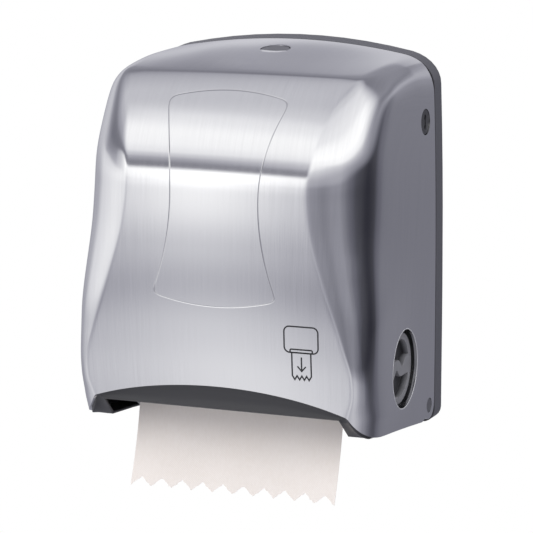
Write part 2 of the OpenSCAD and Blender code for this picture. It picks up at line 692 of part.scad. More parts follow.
module paper_roll() {
  color("white") difference() {
    xcyl(-half_t, half_t, roll_y, roll_z, roll_r);
    xcyl(-half_t - 1, half_t + 1, roll_y, roll_z, core_d / 2 + 2);
  }
}

// The web runs from below the roll over the drum: inner tangent of two circles turning opposite ways
web_dy = drum_y - roll_y;
web_dz = drum_z - roll_z;
web_a = atan2(-web_dz, web_dy == 0 ? 0.0001 : -web_dy);
web_cross = asin((web_r + roll_r + 0.6) / norm([web_dy, web_dz]));
web_up = 90 - web_a + web_cross;
function on_drum(a, r) = [drum_y - r * cos(a), drum_z + r * sin(a)];
web_end = on_drum(web_up, web_r);
web_start = [roll_y + (roll_r + 0.6) * cos(web_up), roll_z - (roll_r + 0.6) * sin(web_up)];
module paper_web() {
  n = [-cos(web_up), sin(web_up)] * towel_t;
  color("white") plate(-half_t, half_t) polygon([web_start, web_end, web_end + n, web_start + n]);
}

// Hanging towel: round the front of the drum, then down with a slight forward curl
function hang(t) = let (s = t * towel_drop) [drum_y - web_r - 25 * pow(t, 1.9), drum_z - s];
function hang_out(t) = let (p = hang(t - 0.01), q = hang(t + 0.01), d = (q - p) / norm(q - p)) [d[1], -d[0]];
towel_in = concat([for (i = [0:9]) on_drum(web_up * (1 - i / 10), web_r)], [for (i = [0:14]) hang(i / 14)]);
towel_out = concat([for (i = [0:9]) on_drum(web_up * (1 - i / 10), web_r + towel_t)],
  [for (i = [0:14]) hang(i / 14) + (i == 0 ? [-towel_t, 0] : hang_out(i / 14) * towel_t)]);
tear = 2 * half_t / teeth;
module towel_sheet() {
  last = len(towel_out) - 1;
  color("white") difference() {
    plate(-half_t, half_t) polygon(concat(towel_in, [for (i = [last:-1:0]) towel_out[i]]));
    translate([0, 0, drum_z - towel_drop]) rotate([90, 0, 0]) linear_extrude(300)
      polygon(concat([[half_t + 1, -5], [-half_t - 1, -5]],
        [for (i = [0:2 * teeth]) [-half_t + tear * i / 2 + (i == 0 ? -0.01 : i == 2 * teeth ? 0.01 : 0), i % 2 == 1 ? 8.5 : 0.3]]));
  }
}

rear_housing();
hinge_pins();
front_cover();
throat_bezel();
release_button();
latch_guide();
button_spring();
lock_barrel();
lock_cam();
lock_clip();
right_frame();
left_frame();
tie_rods();
frame_screws();
drum_guard();
drum_bushes();
feed_drum();
grip_bands();
drum_axle();
feed_knob();
crank_disc();
return_spring();
knife_carrier();
knife_blade();
blade_screws();
pinch_shaft();
pinch_sleeves();
pinch_springs();
right_arm();
right_hub();
left_hub();
left_arm();
arm_pin();
arm_bracket();
roll_core();
paper_roll();
paper_web();
towel_sheet();
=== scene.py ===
# %% [markdown]
# # A roll towel dispenser, dressed in Blender
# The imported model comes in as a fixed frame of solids: a housing on the wall, a hinged cover, a feed drum
# with a knife, a paper roll and a hanging towel. This lesson keeps every solid where it is and gives it its
# looks: a finer brushed cover, softened plastic edges, wound paper, springs of real wire, and finishes made
# from nodes.

# %% Load the frame
import bpy
import bmesh
import json
import math
import numpy as np
from mathutils import Matrix, Vector


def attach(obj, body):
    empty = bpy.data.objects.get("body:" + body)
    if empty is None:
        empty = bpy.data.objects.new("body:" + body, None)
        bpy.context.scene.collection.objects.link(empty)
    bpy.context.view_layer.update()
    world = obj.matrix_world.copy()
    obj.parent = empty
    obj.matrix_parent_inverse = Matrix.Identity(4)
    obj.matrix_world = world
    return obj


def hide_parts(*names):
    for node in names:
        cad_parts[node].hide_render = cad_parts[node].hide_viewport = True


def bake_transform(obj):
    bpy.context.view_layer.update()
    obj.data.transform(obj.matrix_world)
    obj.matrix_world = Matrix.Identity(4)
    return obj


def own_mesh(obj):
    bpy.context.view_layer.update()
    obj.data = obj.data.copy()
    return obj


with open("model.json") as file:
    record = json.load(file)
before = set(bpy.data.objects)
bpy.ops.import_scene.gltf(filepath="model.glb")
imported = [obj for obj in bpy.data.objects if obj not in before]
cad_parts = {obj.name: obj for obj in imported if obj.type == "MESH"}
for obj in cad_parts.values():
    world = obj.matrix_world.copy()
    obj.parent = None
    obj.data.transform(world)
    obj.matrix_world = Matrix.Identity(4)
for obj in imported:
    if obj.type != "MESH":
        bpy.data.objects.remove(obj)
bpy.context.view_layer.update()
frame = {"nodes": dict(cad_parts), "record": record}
NODES = frame["nodes"]
MM = 0.001


def add(name, data):
    """Put a new object with this data into the scene."""
    made = bpy.data.objects.new(name, data)
    bpy.context.scene.collection.objects.link(made)
    return made


# %% [markdown]
# ## Camera
# The product picture was taken from the right and a little above, with a long lens. A long lens far away
# keeps the upright edges nearly parallel. The focal length in pixels on a 533 pixel frame gives the lens
# for a sensor of 36 mm. The camera looks at a point inside the body, so it needs no shift.

# %% Camera at the picture's angle
PICTURE_PIXELS, FOCAL_PIXELS, SENSOR_MM = 533, 2583.66, 36
AZIMUTH, ELEVATION, DISTANCE = math.radians(21.5), math.radians(10.75), 2.418
LOOK_AT = Vector((0.00526, -0.1009, -0.026))
level_part = math.cos(ELEVATION)
away = Vector((math.sin(AZIMUTH) * level_part, -math.cos(AZIMUTH) * level_part, math.sin(ELEVATION)))
camera = add("picture_camera", bpy.data.cameras.new("picture_camera"))
camera.data.lens = FOCAL_PIXELS * SENSOR_MM / PICTURE_PIXELS
camera.data.sensor_width = SENSOR_MM
camera.data.clip_end = 60
camera.location = LOOK_AT + away * DISTANCE
camera.rotation_euler = (-away).to_track_quat("-Z", "Y").to_euler()
bpy.context.scene.camera = camera
print("camera at", [round(v, 3) for v in camera.location])

# %% [markdown]
# ## A small language for node trees
# A finish is easier to read as a formula than as a list of links. `Wire` stands for the output of a node,
# and its operators add Math nodes, so `1 - mask` works as written. `Tree.node` adds any other node: first
# its settings, then the values or wires of its sockets.

# %% Wires and trees
class Wire:
    def __init__(self, tree, socket):
        self.tree = tree
        self.socket = socket

    def math(self, operation, other=None, swap=False, third=None):
        first, second = (other, self) if swap else (self, other)
        sockets = {0: first} if second is None else {0: first, 1: second}
        if third is not None:
            sockets[2] = third
        return self.tree.node("ShaderNodeMath", {"operation": operation}, sockets)

    def clamp(self, low=0.0, high=1.0):
        return self.math("MAXIMUM", low).math("MINIMUM", high)

    def __add__(self, other):
        return self.math("ADD", other)

    def __radd__(self, other):
        return self.math("ADD", other, True)

    def __sub__(self, other):
        return self.math("SUBTRACT", other)

    def __rsub__(self, other):
        return self.math("SUBTRACT", other, True)

    def __mul__(self, other):
        return self.math("MULTIPLY", other)

    def __rmul__(self, other):
        return self.math("MULTIPLY", other, True)

    def __abs__(self):
        return self.math("ABSOLUTE")


class Tree:
    def __init__(self, nodes, links):
        self.nodes = nodes
        self.links = links

    def node(self, kind, settings=None, sockets=None, out=0):
        made = self.nodes.new(kind)
        for name, value in (settings or {}).items():
            setattr(made, name, value)
        for name, value in (sockets or {}).items():
            if isinstance(value, Wire):
                self.links.new(value.socket, made.inputs[name])
            else:
                made.inputs[name].default_value = value
        return Wire(self, made.outputs[out]) if len(made.outputs) else made

    def ramp(self, stops, place):
        """A grey ramp as a value: the product turns its colour into a number."""
        tone = self.node("ShaderNodeValToRGB", {}, {0: place})
        ramp = tone.socket.node.color_ramp
        ramp.interpolation = "EASE"
        while len(ramp.elements) < len(stops):
            ramp.elements.new(1)
        for element, (at, value) in zip(ramp.elements, stops):
            element.position = at
            element.color = (value, value, value, 1)
        return tone * 1.0

    def axes(self, coords="Object"):
        spot = self.node("ShaderNodeTexCoord", out=coords)
        split = self.node("ShaderNodeSeparateXYZ", {}, {0: spot})
        return [Wire(self, socket) for socket in split.socket.node.outputs]


print("wires and trees ready")

# %% [markdown]
# A finish is a material whose tree starts with one Principled shader. Its patterns are noises in the
# coordinates of the piece, so they need no pictures and stay sharp at any distance.

# %% Finishes as trees
def shade(colour, share):
    return tuple(min(1.0, c * share) for c in colour)


class Finish(Tree):
    def __init__(self, name, base, roughness, metallic=0.0, **constants):
        self.material = bpy.data.materials.new(name)
        self.material.use_nodes = True
        tree = self.material.node_tree
        tree.nodes.clear()
        super().__init__(tree.nodes, tree.links)
        self.shader = tree.nodes.new("ShaderNodeBsdfPrincipled")
        self.output = tree.nodes.new("ShaderNodeOutputMaterial")
        self.links.new(self.shader.outputs[0], self.output.inputs["Surface"])
        self.set("Base Color", (*base, 1))
        self.set("Roughness", roughness)
        self.set("Metallic", metallic)
        for key, value in constants.items():
            self.set(key.replace("_", " ").title().replace("Ior", "IOR"), value)

    def set(self, name, value):
        socket = self.shader.inputs[name]
        if isinstance(value, Wire):
            self.links.new(value.socket, socket)
        else:
            socket.default_value = value

    def place(self, scale=(1, 1, 1), coords="Object"):
        spot = self.node("ShaderNodeTexCoord", out=coords)
        return self.node("ShaderNodeMapping", {}, {"Vector": spot, "Scale": scale})

    def noise(self, scale, stretch=(1, 1, 1), detail=2.0, coords="Object"):
        return self.node("ShaderNodeTexNoise", {}, {
            "Vector": self.place(stretch, coords), "Scale": scale, "Detail": detail})

    def mix(self, factor, low, high):
        low = low if isinstance(low, Wire) else (*low, 1)
        high = high if isinstance(high, Wire) else (*high, 1)
        return self.node("ShaderNodeMix", {"data_type": "RGBA"}, {"Factor": factor, 6: low, 7: high}, out=2)

    def tint(self, pattern, colour, low, high):
        self.set("Base Color", self.mix(pattern, shade(colour, low), shade(colour, high)))

    def bump(self, height, distance, strength=1.0):
        self.set("Normal", self.node("ShaderNodeBump", {}, {
            "Height": height, "Distance": distance, "Strength": strength}))


print("node language ready")

# %% [markdown]
# ## Studio
# The object hangs on a wall, but a wall would hide its back, so it floats over a pale floor. A brushed
# cover shows whatever stands round it, so the studio is drawn in the world: a pale wall, a darker strip
# where wall and ceiling meet, a bright ceiling, and darker corners to the right and left. The camera itself
# sees plain white there.
#
# Each ramp gives the tone at an angle. Four of them go up from the ground to the zenith, for the wall in
# front, on the left, on the right and behind. The fifth goes round the room, from behind over the left, the
# front and the right.

# %% Tones of the room
def at_height(degrees):
    return degrees / 180 + 0.5


def at_turn(degrees):
    return degrees / 360 + 0.5


def steps(place, *pairs):
    return [(place(degrees), value) for degrees, value in pairs]


FRONT_TONES = steps(
    at_height, (-90, 0.8), (-24, 1.1), (-19, 0.95), (-13, 0.67), (-9, 0.88), (-4, 1.35), (2, 1.64),
    (10, 1.84), (16, 1.86), (18.6, 0.24), (21, 0.31), (24.8, 0.84), (30, 1.2), (36, 1.36), (44, 1.4),
    (54, 1.19), (64, 0.88), (74, 0.72), (90, 0.66))
LEFT_TONES = steps(
    at_height, (-90, 0.85), (-24, 0.98), (-15, 0.92), (-9, 0.95), (-4, 1.34), (2, 1.42), (6, 1.3), (9, 0.6),
    (13, 0.42), (18, 0.27), (22, 0.27), (27, 0.5), (34, 0.68), (43, 0.78), (54, 0.78), (67, 0.78),
    (90, 0.64))
RIGHT_TONES = steps(
    at_height, (-90, 1.8), (-25, 2.3), (-18, 2.1), (-12, 1.6), (-8, 1.3), (-4, 1.3), (2, 1.56), (7, 1.5),
    (13, 1.15), (18, 1.25), (21.5, 1.75), (26, 1.58), (34, 1.48), (43, 1.2), (54, 1.08), (67, 0.88),
    (90, 0.66))
BACK_TONES = steps(
    at_height, (-90, 0.6), (-14, 0.66), (-8, 0.78), (8, 1.18), (13, 1.14), (16.5, 0.98), (19, 0.62),
    (24, 0.36), (56, 0.28), (63, 0.5), (75, 0.62), (90, 0.62))
TURN_TONES = steps(
    at_turn, (-180, 0.35), (-150, 0.48), (-121, 0.6), (-90, 0.75), (-64, 0.87), (-48, 0.8), (-33, 0.56),
    (-28, 0.69), (-24, 1.13), (-22, 1.06), (-20, 0.87), (-18, 0.6), (-15, 0.53), (-5, 0.47), (3, 0.33),
    (14, 0.25), (27, 0.2), (38, 0.25), (48, 0.26), (60, 0.19), (72, 0.11), (84, 0.06), (106, 0.035),
    (122, 0.07), (138, 0.2), (152, 0.3), (180, 0.35))
# Mid tones of the room are a little blue, its brightest parts are not
BLUE_AT_TONE = [(0.0, 0.024), (0.03, 0.034), (0.125, 0.06), (0.3, 0.077), (0.42, 0.071), (0.62, 0.053),
                (0.76, 0.032), (0.9, 0.008), (1.0, 0.005)]
BRIGHTEST, NO_BLUE = 1.6, 0.02
print("tones:", sum(len(t) for t in (FRONT_TONES, LEFT_TONES, RIGHT_TONES, BACK_TONES, TURN_TONES)))

# %% World
# Where the walls and the ceiling begin, and how sharply each takes over from the wall in front
LEFT_EDGE, RIGHT_EDGE, LEAN_EDGE = at_turn(-46), at_turn(-12), at_turn(-156)
LEFT_RATE, RIGHT_RATE, BACK_RATE, LEAN_RATE = 15, 20, 2.5, 6.0
CEILING, CEILING_RATE, GROUND, GROUND_RATE = 0.47, 2.6, -0.15, -0.6


def studio_world():
    world = bpy.data.worlds.new("studio")
    world.use_nodes = True
    world.node_tree.nodes.clear()
    t = Tree(world.node_tree.nodes, world.node_tree.links)
    x, y, z = t.axes("Generated")
    height = z.math("ARCSINE") * (1 / math.pi) + 0.5
    turn = x.math("ARCTAN2", y * -1.0) * (0.5 / math.pi) + 0.5
    level = t.ramp(FRONT_TONES, height)
    # Behind, the tones stand a little higher to one side
    lean = ((turn - LEAN_EDGE) * LEAN_RATE).clamp(-0.004, 0.018)
    for stops, place, share in ((LEFT_TONES, height, (LEFT_EDGE - turn) * LEFT_RATE),
                                (RIGHT_TONES, height, (turn - RIGHT_EDGE) * RIGHT_RATE),
                                (BACK_TONES, height + lean, y * BACK_RATE)):
        level = level + (t.ramp(stops, place) - level) * share.clamp()
    # The tones round the room fade out to the ceiling, and a little to the ground
    below_ceiling = ((CEILING - z) * CEILING_RATE).clamp()
    glow = ((z - GROUND) * GROUND_RATE).clamp(0.0, 0.1)
    tone = level * (1 - below_ceiling * (1 - t.ramp(TURN_TONES, turn)) * (1 - glow))
    blue = t.ramp(BLUE_AT_TONE, tone * (1 / BRIGHTEST)) - NO_BLUE
    cool = t.node("ShaderNodeCombineXYZ", {}, {0: tone, 1: tone, 2: tone + blue})
    seen = t.node("ShaderNodeLightPath", out="Is Camera Ray")
    light = t.node("ShaderNodeMix", {"data_type": "RGBA"}, {"Factor": seen, 6: cool, 7: (1, 1, 1, 1)}, out=2)
    back = t.node("ShaderNodeBackground", {}, {"Color": light, "Strength": 1.0})
    t.node("ShaderNodeOutputWorld", {}, {"Surface": back})
    bpy.context.scene.world = world


studio_world()
bpy.context.scene.view_settings.view_transform = "Standard"
print("studio drawn")

# %% [markdown]
# The floor is a wide pale disc well below the towel. It takes a soft shadow, and for the camera it is plain
# white, so that it runs into the background. From below the camera looks through it, so that the underside
# of the object can be seen. Two wide lamps, one in front on the left and one behind on the right, give the
# light.

# %% Floor and lamps
FLOOR_Z, FLOOR_R, FLOOR_SIDES = -1.0, 1.2, 64
LAMP_AIM = Vector((0, -0.1, 0))


def arc(radius, start, stop, count):
    return [(radius * math.cos(a), radius * math.sin(a)) for a in np.linspace(start, stop, count).tolist()]


def circle(radius, count):
    return arc(radius, 0, 2 * math.pi, count + 1)[:-1]


def lay_floor():
    mesh = bpy.data.meshes.new("floor")
    ring = [(x, y, FLOOR_Z) for x, y in circle(FLOOR_R, FLOOR_SIDES)]
    mesh.from_pydata(ring, [], [list(range(FLOOR_SIDES))])
    floor = add("floor", mesh)
    f = Finish("floor_paint", (0.86, 0.86, 0.86), 0.9)
    f.set("Base Color", f.mix(f.noise(3.0), (0.84, 0.84, 0.84), (0.88, 0.88, 0.88)))
    white = f.node("ShaderNodeEmission", {}, {"Color": (1, 1, 1, 1), "Strength": 1.0})
    clear = f.node("ShaderNodeBsdfTransparent")
    below = f.node("ShaderNodeNewGeometry", out="Backfacing")
    seen = f.node("ShaderNodeMixShader", {}, {0: below, 1: white, 2: clear})
    rays = f.node("ShaderNodeLightPath", out="Is Camera Ray")
    blend = f.node("ShaderNodeMixShader", {}, {0: rays, 1: Wire(f, f.shader.outputs[0]), 2: seen})
    f.links.new(blend.socket, f.output.inputs["Surface"])
    mesh.materials.append(f.material)
    floor.visible_glossy = False


def soft_lamp(name, place, size, power):
    lamp = add(name, bpy.data.lights.new(name, "AREA"))
    lamp.data.shape = "RECTANGLE"
    lamp.data.size, lamp.data.size_y = size
    lamp.data.energy = power
    lamp.location = place
    lamp.rotation_euler = (LAMP_AIM - Vector(place)).to_track_quat("-Z", "Y").to_euler()
    lamp.visible_glossy = False


lay_floor()
soft_lamp("key", (-1.3, -1.9, 1.6), (1.8, 1.6), 24)
soft_lamp("fill", (1.2, 1.5, 1.8), (1.6, 1.6), 14)
print("floor and lamps set")

# %% [markdown]
# ## Finishes
# Moulded plastic is never one flat colour: it has a fine spark-eroded grain, slow changes of tone, and
# gloss that changes with the grain. One function gives that to every plastic, with its own colour and grain
# size. The rim of the housing is painted darker, as painted shade, where it lies in the shade of the cover
# in front of it. The knob's face is a paler grey, and painted shade darkens the hollows behind its face.

# %% Moulded plastics
HOUSING_SEAM, SEAM_SHADE = -0.0205, 0.003
HOLLOW_SHADE_FACE, HOLLOW_SHADE_DEPTH = 0.1372, 0.004


def moulded(name, colour, roughness, grain, depth, seam=None):
    f = Finish(name, colour, roughness)
    fine = f.noise(grain, detail=1.0)
    slow = f.noise(14.0, detail=3.0)
    tone = f.mix(fine * 0.55 + slow * 0.45, shade(colour, 0.86), shade(colour, 1.16))
    if seam is not None:
        x, y, z = f.axes()
        in_shade = ((seam + SEAM_SHADE - y) * (1 / SEAM_SHADE)).clamp()
        tone = f.mix(in_shade, tone, shade(colour, 0.15))
    f.set("Base Color", tone)
    f.set("Roughness", roughness - 0.10 + fine * 0.12 + slow * 0.08)
    f.bump(fine, depth, 0.6)
    return f.material


def pale_face_shaded_hollows(name, face, shaded_hollow):
    f = Finish(name, face, 0.5)
    fine = f.noise(1500.0, detail=1.0)
    x, y, z = f.axes()
    # Painted shade: the knob is darker in the hollows behind its face and paler on the face
    rise = ((x - (HOLLOW_SHADE_FACE - HOLLOW_SHADE_DEPTH)) * (1 / HOLLOW_SHADE_DEPTH)).clamp()
    darker, lighter = (f.mix(rise, shade(shaded_hollow, k), shade(face, k)) for k in (0.86, 1.14))
    f.set("Base Color", f.mix(fine, darker, lighter))
    f.set("Roughness", 0.42 + fine * 0.14)
    f.bump(fine, 0.00006, 0.6)
    return f.material


CHARCOAL = (0.1, 0.1, 0.114)
FINISH = {
    "housing_plastic": moulded("housing_moulding", CHARCOAL, 0.46, 1500, 0.00006, seam=HOUSING_SEAM),
    "knob_plastic": pale_face_shaded_hollows("knob_painted_hollow_shade", (0.25, 0.25, 0.265), (0.05, 0.05, 0.055)),
    "dark_plastic": moulded("charcoal_moulding", CHARCOAL, 0.46, 1500, 0.00006),
    "button_plastic": moulded("button_moulding", (0.118, 0.118, 0.134), 0.46, 1500, 0.00006),
    # Painted shade: a darker copy of the charcoal for the bezel under the cover's lip and the lock barrel in
    # its hole
    "mouth_plastic_painted_shade": moulded("mouth_moulding_painted_shade", (0.034, 0.034, 0.038), 0.4, 1500, 0.00006),
    "inner_plastic": moulded("inner_moulding", (0.17, 0.175, 0.185), 0.5, 1100, 0.00007),
    "white_plastic": moulded("white_bearing_plastic", (0.72, 0.72, 0.69), 0.38, 900, 0.00003),
}
print("plastics:", sorted(FINISH))

# %% [markdown]
# Steel rods and screws are turned, so fine rings run round them; spring wire is drawn and darker. Rubber is
# matt with a dusty bloom.

# %% Steels and rubber
def turned_steel(name, colour, roughness, rings):
    f = Finish(name, colour, roughness, 1.0)
    marks = f.noise(rings, (1, 0.08, 0.08), 1.0)
    smear = f.noise(60.0, detail=3.0)
    f.tint(smear, colour, 0.82, 1.1)
    f.set("Roughness", roughness - 0.08 + marks * 0.16)
    f.bump(marks, 0.00002, 0.5)
    return f.material


def rubber(name, colour):
    f = Finish(name, colour, 0.85)
    bloom = f.noise(220.0, detail=4.0)
    f.tint(bloom, colour, 0.7, 1.7)
    f.set("Roughness", 0.72 + bloom * 0.2)
    f.bump(f.noise(1800.0), 0.00008, 0.5)
    return f.material


FINISH["steel"] = turned_steel("turned_steel", (0.56, 0.56, 0.57), 0.3, 2600)
FINISH["spring_steel"] = turned_steel("drawn_spring_wire", (0.36, 0.35, 0.34), 0.34, 3200)
FINISH["rubber"] = rubber("grip_rubber", (0.034, 0.034, 0.036))
print("metals and rubber added")

# %% [markdown]
# The towel is recycled paper: off-white with warm fibres, pressed with a fine slanting emboss. The roll is
# the same paper in layers, and the core is brown board wound on a slant.

# %% Papers
def towel_paper(name, colour, emboss):
    f = Finish(name, colour, 0.95, specular_ior_level=0.2)
    fibre = f.noise(420.0, (1, 1, 0.35), 5.0)
    cloud = f.noise(22.0, detail=3.0)
    warm = tuple(c * k for c, k in zip(colour, (0.93, 0.90, 0.86)))
    f.set("Base Color", f.mix(fibre * 0.5 + cloud * 0.5, warm, shade(colour, 1.06)))
    crepe = f.node("ShaderNodeTexWave", {"wave_type": "BANDS", "bands_direction": "DIAGONAL"}, {
        "Vector": f.place(), "Scale": emboss, "Distortion": 2.2, "Detail": 2.0,
        "Detail Scale": 1.5}, out="Fac")
    f.bump(crepe * 0.6 + fibre * 0.7, 0.00012, 0.5)
    return f.material


def wound_board(name, colour):
    f = Finish(name, colour, 0.8)
    turn = f.node("ShaderNodeTexWave", {"wave_type": "BANDS"}, {
        "Vector": f.place((1, 0.5, 0.5)), "Scale": 9.0, "Distortion": 0.6}, out="Fac")
    fibre = f.noise(300.0, detail=4.0)
    f.tint(fibre * 0.7 + turn * 0.3, colour, 0.75, 1.15)
    f.bump(fibre, 0.0001, 0.4)
    return f.material


# The hanging towel is set paler than the roll: partly its own off-white, partly painted light for the light
# that falls on it
FINISH["towel"] = towel_paper("embossed_towel", (0.86, 0.815, 0.785), 260.0)
FINISH["roll"] = towel_paper("rolled_towel", (0.72, 0.70, 0.67), 200.0)
FINISH["core"] = wound_board("core_board", (0.42, 0.30, 0.19))
print("papers added")

# %% [markdown]
# The cover is the piece that people see. Its skin is brushed up and down, so each fine line runs with the
# height, and a reflection is drawn out sideways but stays crisp from top to bottom. The scratches read a UV
# map that follows the skin. A shallow groove frames a window in the middle: its distance is worked out from
# the width of the window at each height, with rounded corners from a smooth minimum.

# %% Brushed cover
WAIST, WAIST_Z, WINDOW_TOP, WINDOW_FOOT = 0.0425, 0.055, 0.1476, -0.0426
WINDOW_ROUND, GROOVE, FRONT_ONLY = 0.014, 0.0007, -0.15


def brushed_cover(name):
    f = Finish(name, (0.66, 0.66, 0.675), 0.26, 1.0, anisotropic=0.62)
    fine = f.noise(1.0, (1500, 22, 1), 2.0, "UV")
    broad = f.noise(1.0, (240, 5, 1), 2.0, "UV")
    streak = fine * 0.65 + broad * 0.35
    x, y, z = f.axes()
    wide = WAIST + (z - WAIST_Z) * (z - WAIST_Z) * 2.3 - abs(x)
    top = WINDOW_TOP - x * x * 2.2 - z
    foot = z - WINDOW_FOOT - x * x * 2.4
    inside = wide.math("SMOOTH_MIN", top, third=WINDOW_ROUND).math("SMOOTH_MIN", foot, third=WINDOW_ROUND)
    line = (1 - abs(inside) * (1 / GROOVE)).math("MAXIMUM", 0.0)
    line = line * y.math("LESS_THAN", FRONT_ONLY)
    bright = f.mix(streak, (0.60, 0.60, 0.615), (0.72, 0.72, 0.735))
    # Painted shade: the groove is darkened along its line in the base colour, besides its bump
    f.set("Base Color", f.mix(line * 0.45, bright, (0.20, 0.20, 0.21)))
    f.set("Roughness", 0.09 + streak * 0.08)
    f.bump(streak * 0.05 - line, 0.0004, 0.5)
    return f.material


FINISH["silver_cover"] = brushed_cover("brushed_cover")
print("finishes:", len(FINISH))

# %% [markdown]
# ## The cover skin
# The solid of the cover is a coarse shell. Its rule is short, so the skin is drawn again here with many
# more points: sections fan out from the seam over the top, then level sections go down to the arched mouth.
# In each section a column number runs from the seam (0) along the side (4), round the corner (11) to the
# middle of the front (16).
#
# First come the sizes, in millimetres. The fan turns about a line on the seam. The deck ends at a crease,
# and a round leads from there into the front. On the front lies a ribbon that is narrow at its waist and
# wide above the mouth.

# %% Sizes of the skin
SEAM, FAN, FOOT = -20.5, 70.0, -182.4
DECK_RISE, DECK_FALL = 99.1, 0.0675
CREASE_AHEAD, CREASE_RISE = 127.5, 90.494
CREASE = math.degrees(math.atan2(CREASE_AHEAD, DECK_RISE - DECK_FALL * CREASE_AHEAD))
ROUND_AHEAD, ROUND_RISE = 65.46, -23.88
HALF_WIDTH, SIDE_DRAFT, SIDE_CURVE, SIDE_CURVE_FROM = 146.1, 0.03, 1.56e-7, -150
FRONT, FRONT_LEAN, FRONT_CURVE, FRONT_BLEND = -216.3, 0.0018, 0.00051, 60
BOW_BACK, BOW_CREASE, BOW_FRONT = 10.7, 3.0, 1.5
SIDE_END, CORNER_END, MIDDLE = 4, 11, 16
CORNER_ARC, CORNER_SHARE, ROUGH_HALF = math.radians(72), 1.05, 140
# Low down the sides flare out a little to the front: how far, and from where over which lengths
FLARE, FLARE_Y, FLARE_LONG, FLARE_Z, FLARE_HIGH, FLARE_END = 7.2, -65, 140, 30, 90, 40
# The corners are at least this deep there
LOW_TURN, LOW_TURN_EASE, LOW_TURN_Z, LOW_TURN_HIGH = 33.0, 8, 20, 60
# The deck swells a little, and more near the shoulders
SWELL, SHOULDER_SWELL, SHOULDER_COL, SHOULDER_WIDE = 7, 9, 6.5, 4.5
# Rise of the lower edge over the foot: at the seam, at the corner's two ends, in the middle of the arch
EDGE_SEAM, EDGE_SIDE, EDGE_CORNER, EDGE_ARCH, EDGE_POWER = 4, 21.6, 45.4, 64.9, 2.2
# Height of the ribbon's stations, counted downwards from the crease, and its half width there
RIBBON = np.array([(54.6, 114), (63, 105.4), (71.2, 97), (82.5, 90), (90, 87), (113, 88.4), (138, 92.5),
                   (175, 103), (205, 113), (230, 121), (257, 129), (279, 129.5), (297, 124),
                   (340, 113)], float)
print("crease at", round(CREASE, 2), "degrees")

# %% Rule of the skin
def ribbon_curve(t):
    """A smooth curve through the stations of the ribbon."""
    last = len(RIBBON) - 1
    i = np.clip(np.searchsorted(RIBBON[:, 0], t, side="right") - 1, 0, last - 1)

    def rise(k):
        a, b = np.maximum(0, k - 1), np.minimum(last, k + 1)
        return (RIBBON[b, 1] - RIBBON[a, 1]) / (RIBBON[b, 0] - RIBBON[a, 0])

    h = RIBBON[i + 1, 0] - RIBBON[i, 0]
    u = (t - RIBBON[i, 0]) / h
    return (RIBBON[i, 1] * (2 * u**3 - 3 * u**2 + 1) + RIBBON[i + 1, 1] * (3 * u**2 - 2 * u**3)
            + h * rise(i) * (u**3 - 2 * u**2 + u) + h * rise(i + 1) * (u**3 - u**2))


def half_ribbon(fan, z):
    first, width = RIBBON[0]
    station = np.where(fan < 90, first + (fan - CREASE) * (90 - first) / (90 - CREASE), 90 + FAN - z)
    return np.where(fan < CREASE, width, ribbon_curve(station))


def side_x(y, z, inset=0.0):
    ahead = np.clip((FLARE_Y - y) / FLARE_LONG, 0, 1)
    low = np.clip((FLARE_Z - z) / FLARE_HIGH, 0, 1)
    flare = FLARE * ahead**2 * (2 - ahead) * low**2 * (3 - 2 * low) * np.clip((z - FOOT) / FLARE_END, 0, 1)
    return HALF_WIDTH - SIDE_CURVE * np.maximum(0, z - SIDE_CURVE_FROM)**3 + SIDE_DRAFT * y + flare - inset


def front_y(z):
    return FRONT + FRONT_LEAN * z + FRONT_CURVE * z**2


def round_reach(fan):
    """How far the round over the crease lies from the axis of the fan."""
    q = ROUND_AHEAD * np.sin(np.radians(fan)) + ROUND_RISE * np.cos(np.radians(fan))
    radius = math.hypot(CREASE_AHEAD - ROUND_AHEAD, CREASE_RISE - ROUND_RISE)
    return q + np.sqrt(q * q + radius**2 - ROUND_AHEAD**2 - ROUND_RISE**2)


def edge_reach(fan, z):
    """How far the edge of the ribbon lies from the axis of the fan, or from the seam in a level section."""
    deck = DECK_RISE / (np.cos(np.radians(fan)) + DECK_FALL * np.sin(np.radians(fan)))
    step = round_reach(90.0) - SEAM + front_y(FAN)
    level = SEAM - front_y(z) + step * np.maximum(0, 1 - (FAN - z) / FRONT_BLEND)
    return np.where(fan <= CREASE, deck, np.where(fan < 90, round_reach(fan), level))


def bow(fan):
    """How far the middle of a section stands out over the edges of the ribbon."""
    return np.where(fan < CREASE, BOW_BACK - (BOW_BACK - BOW_CREASE) * fan / CREASE,
                    BOW_CREASE - (BOW_CREASE - BOW_FRONT) * (fan - CREASE) / (90 - CREASE))


print("ribbon", [round(float(half_ribbon(90.0, z)), 1) for z in (60, 0, -60, -120)], "mm at four heights")

# %% [markdown]
# One function gives the point at any column and section. The deck swells between its back and its front
# edge, most of all near the shoulders.

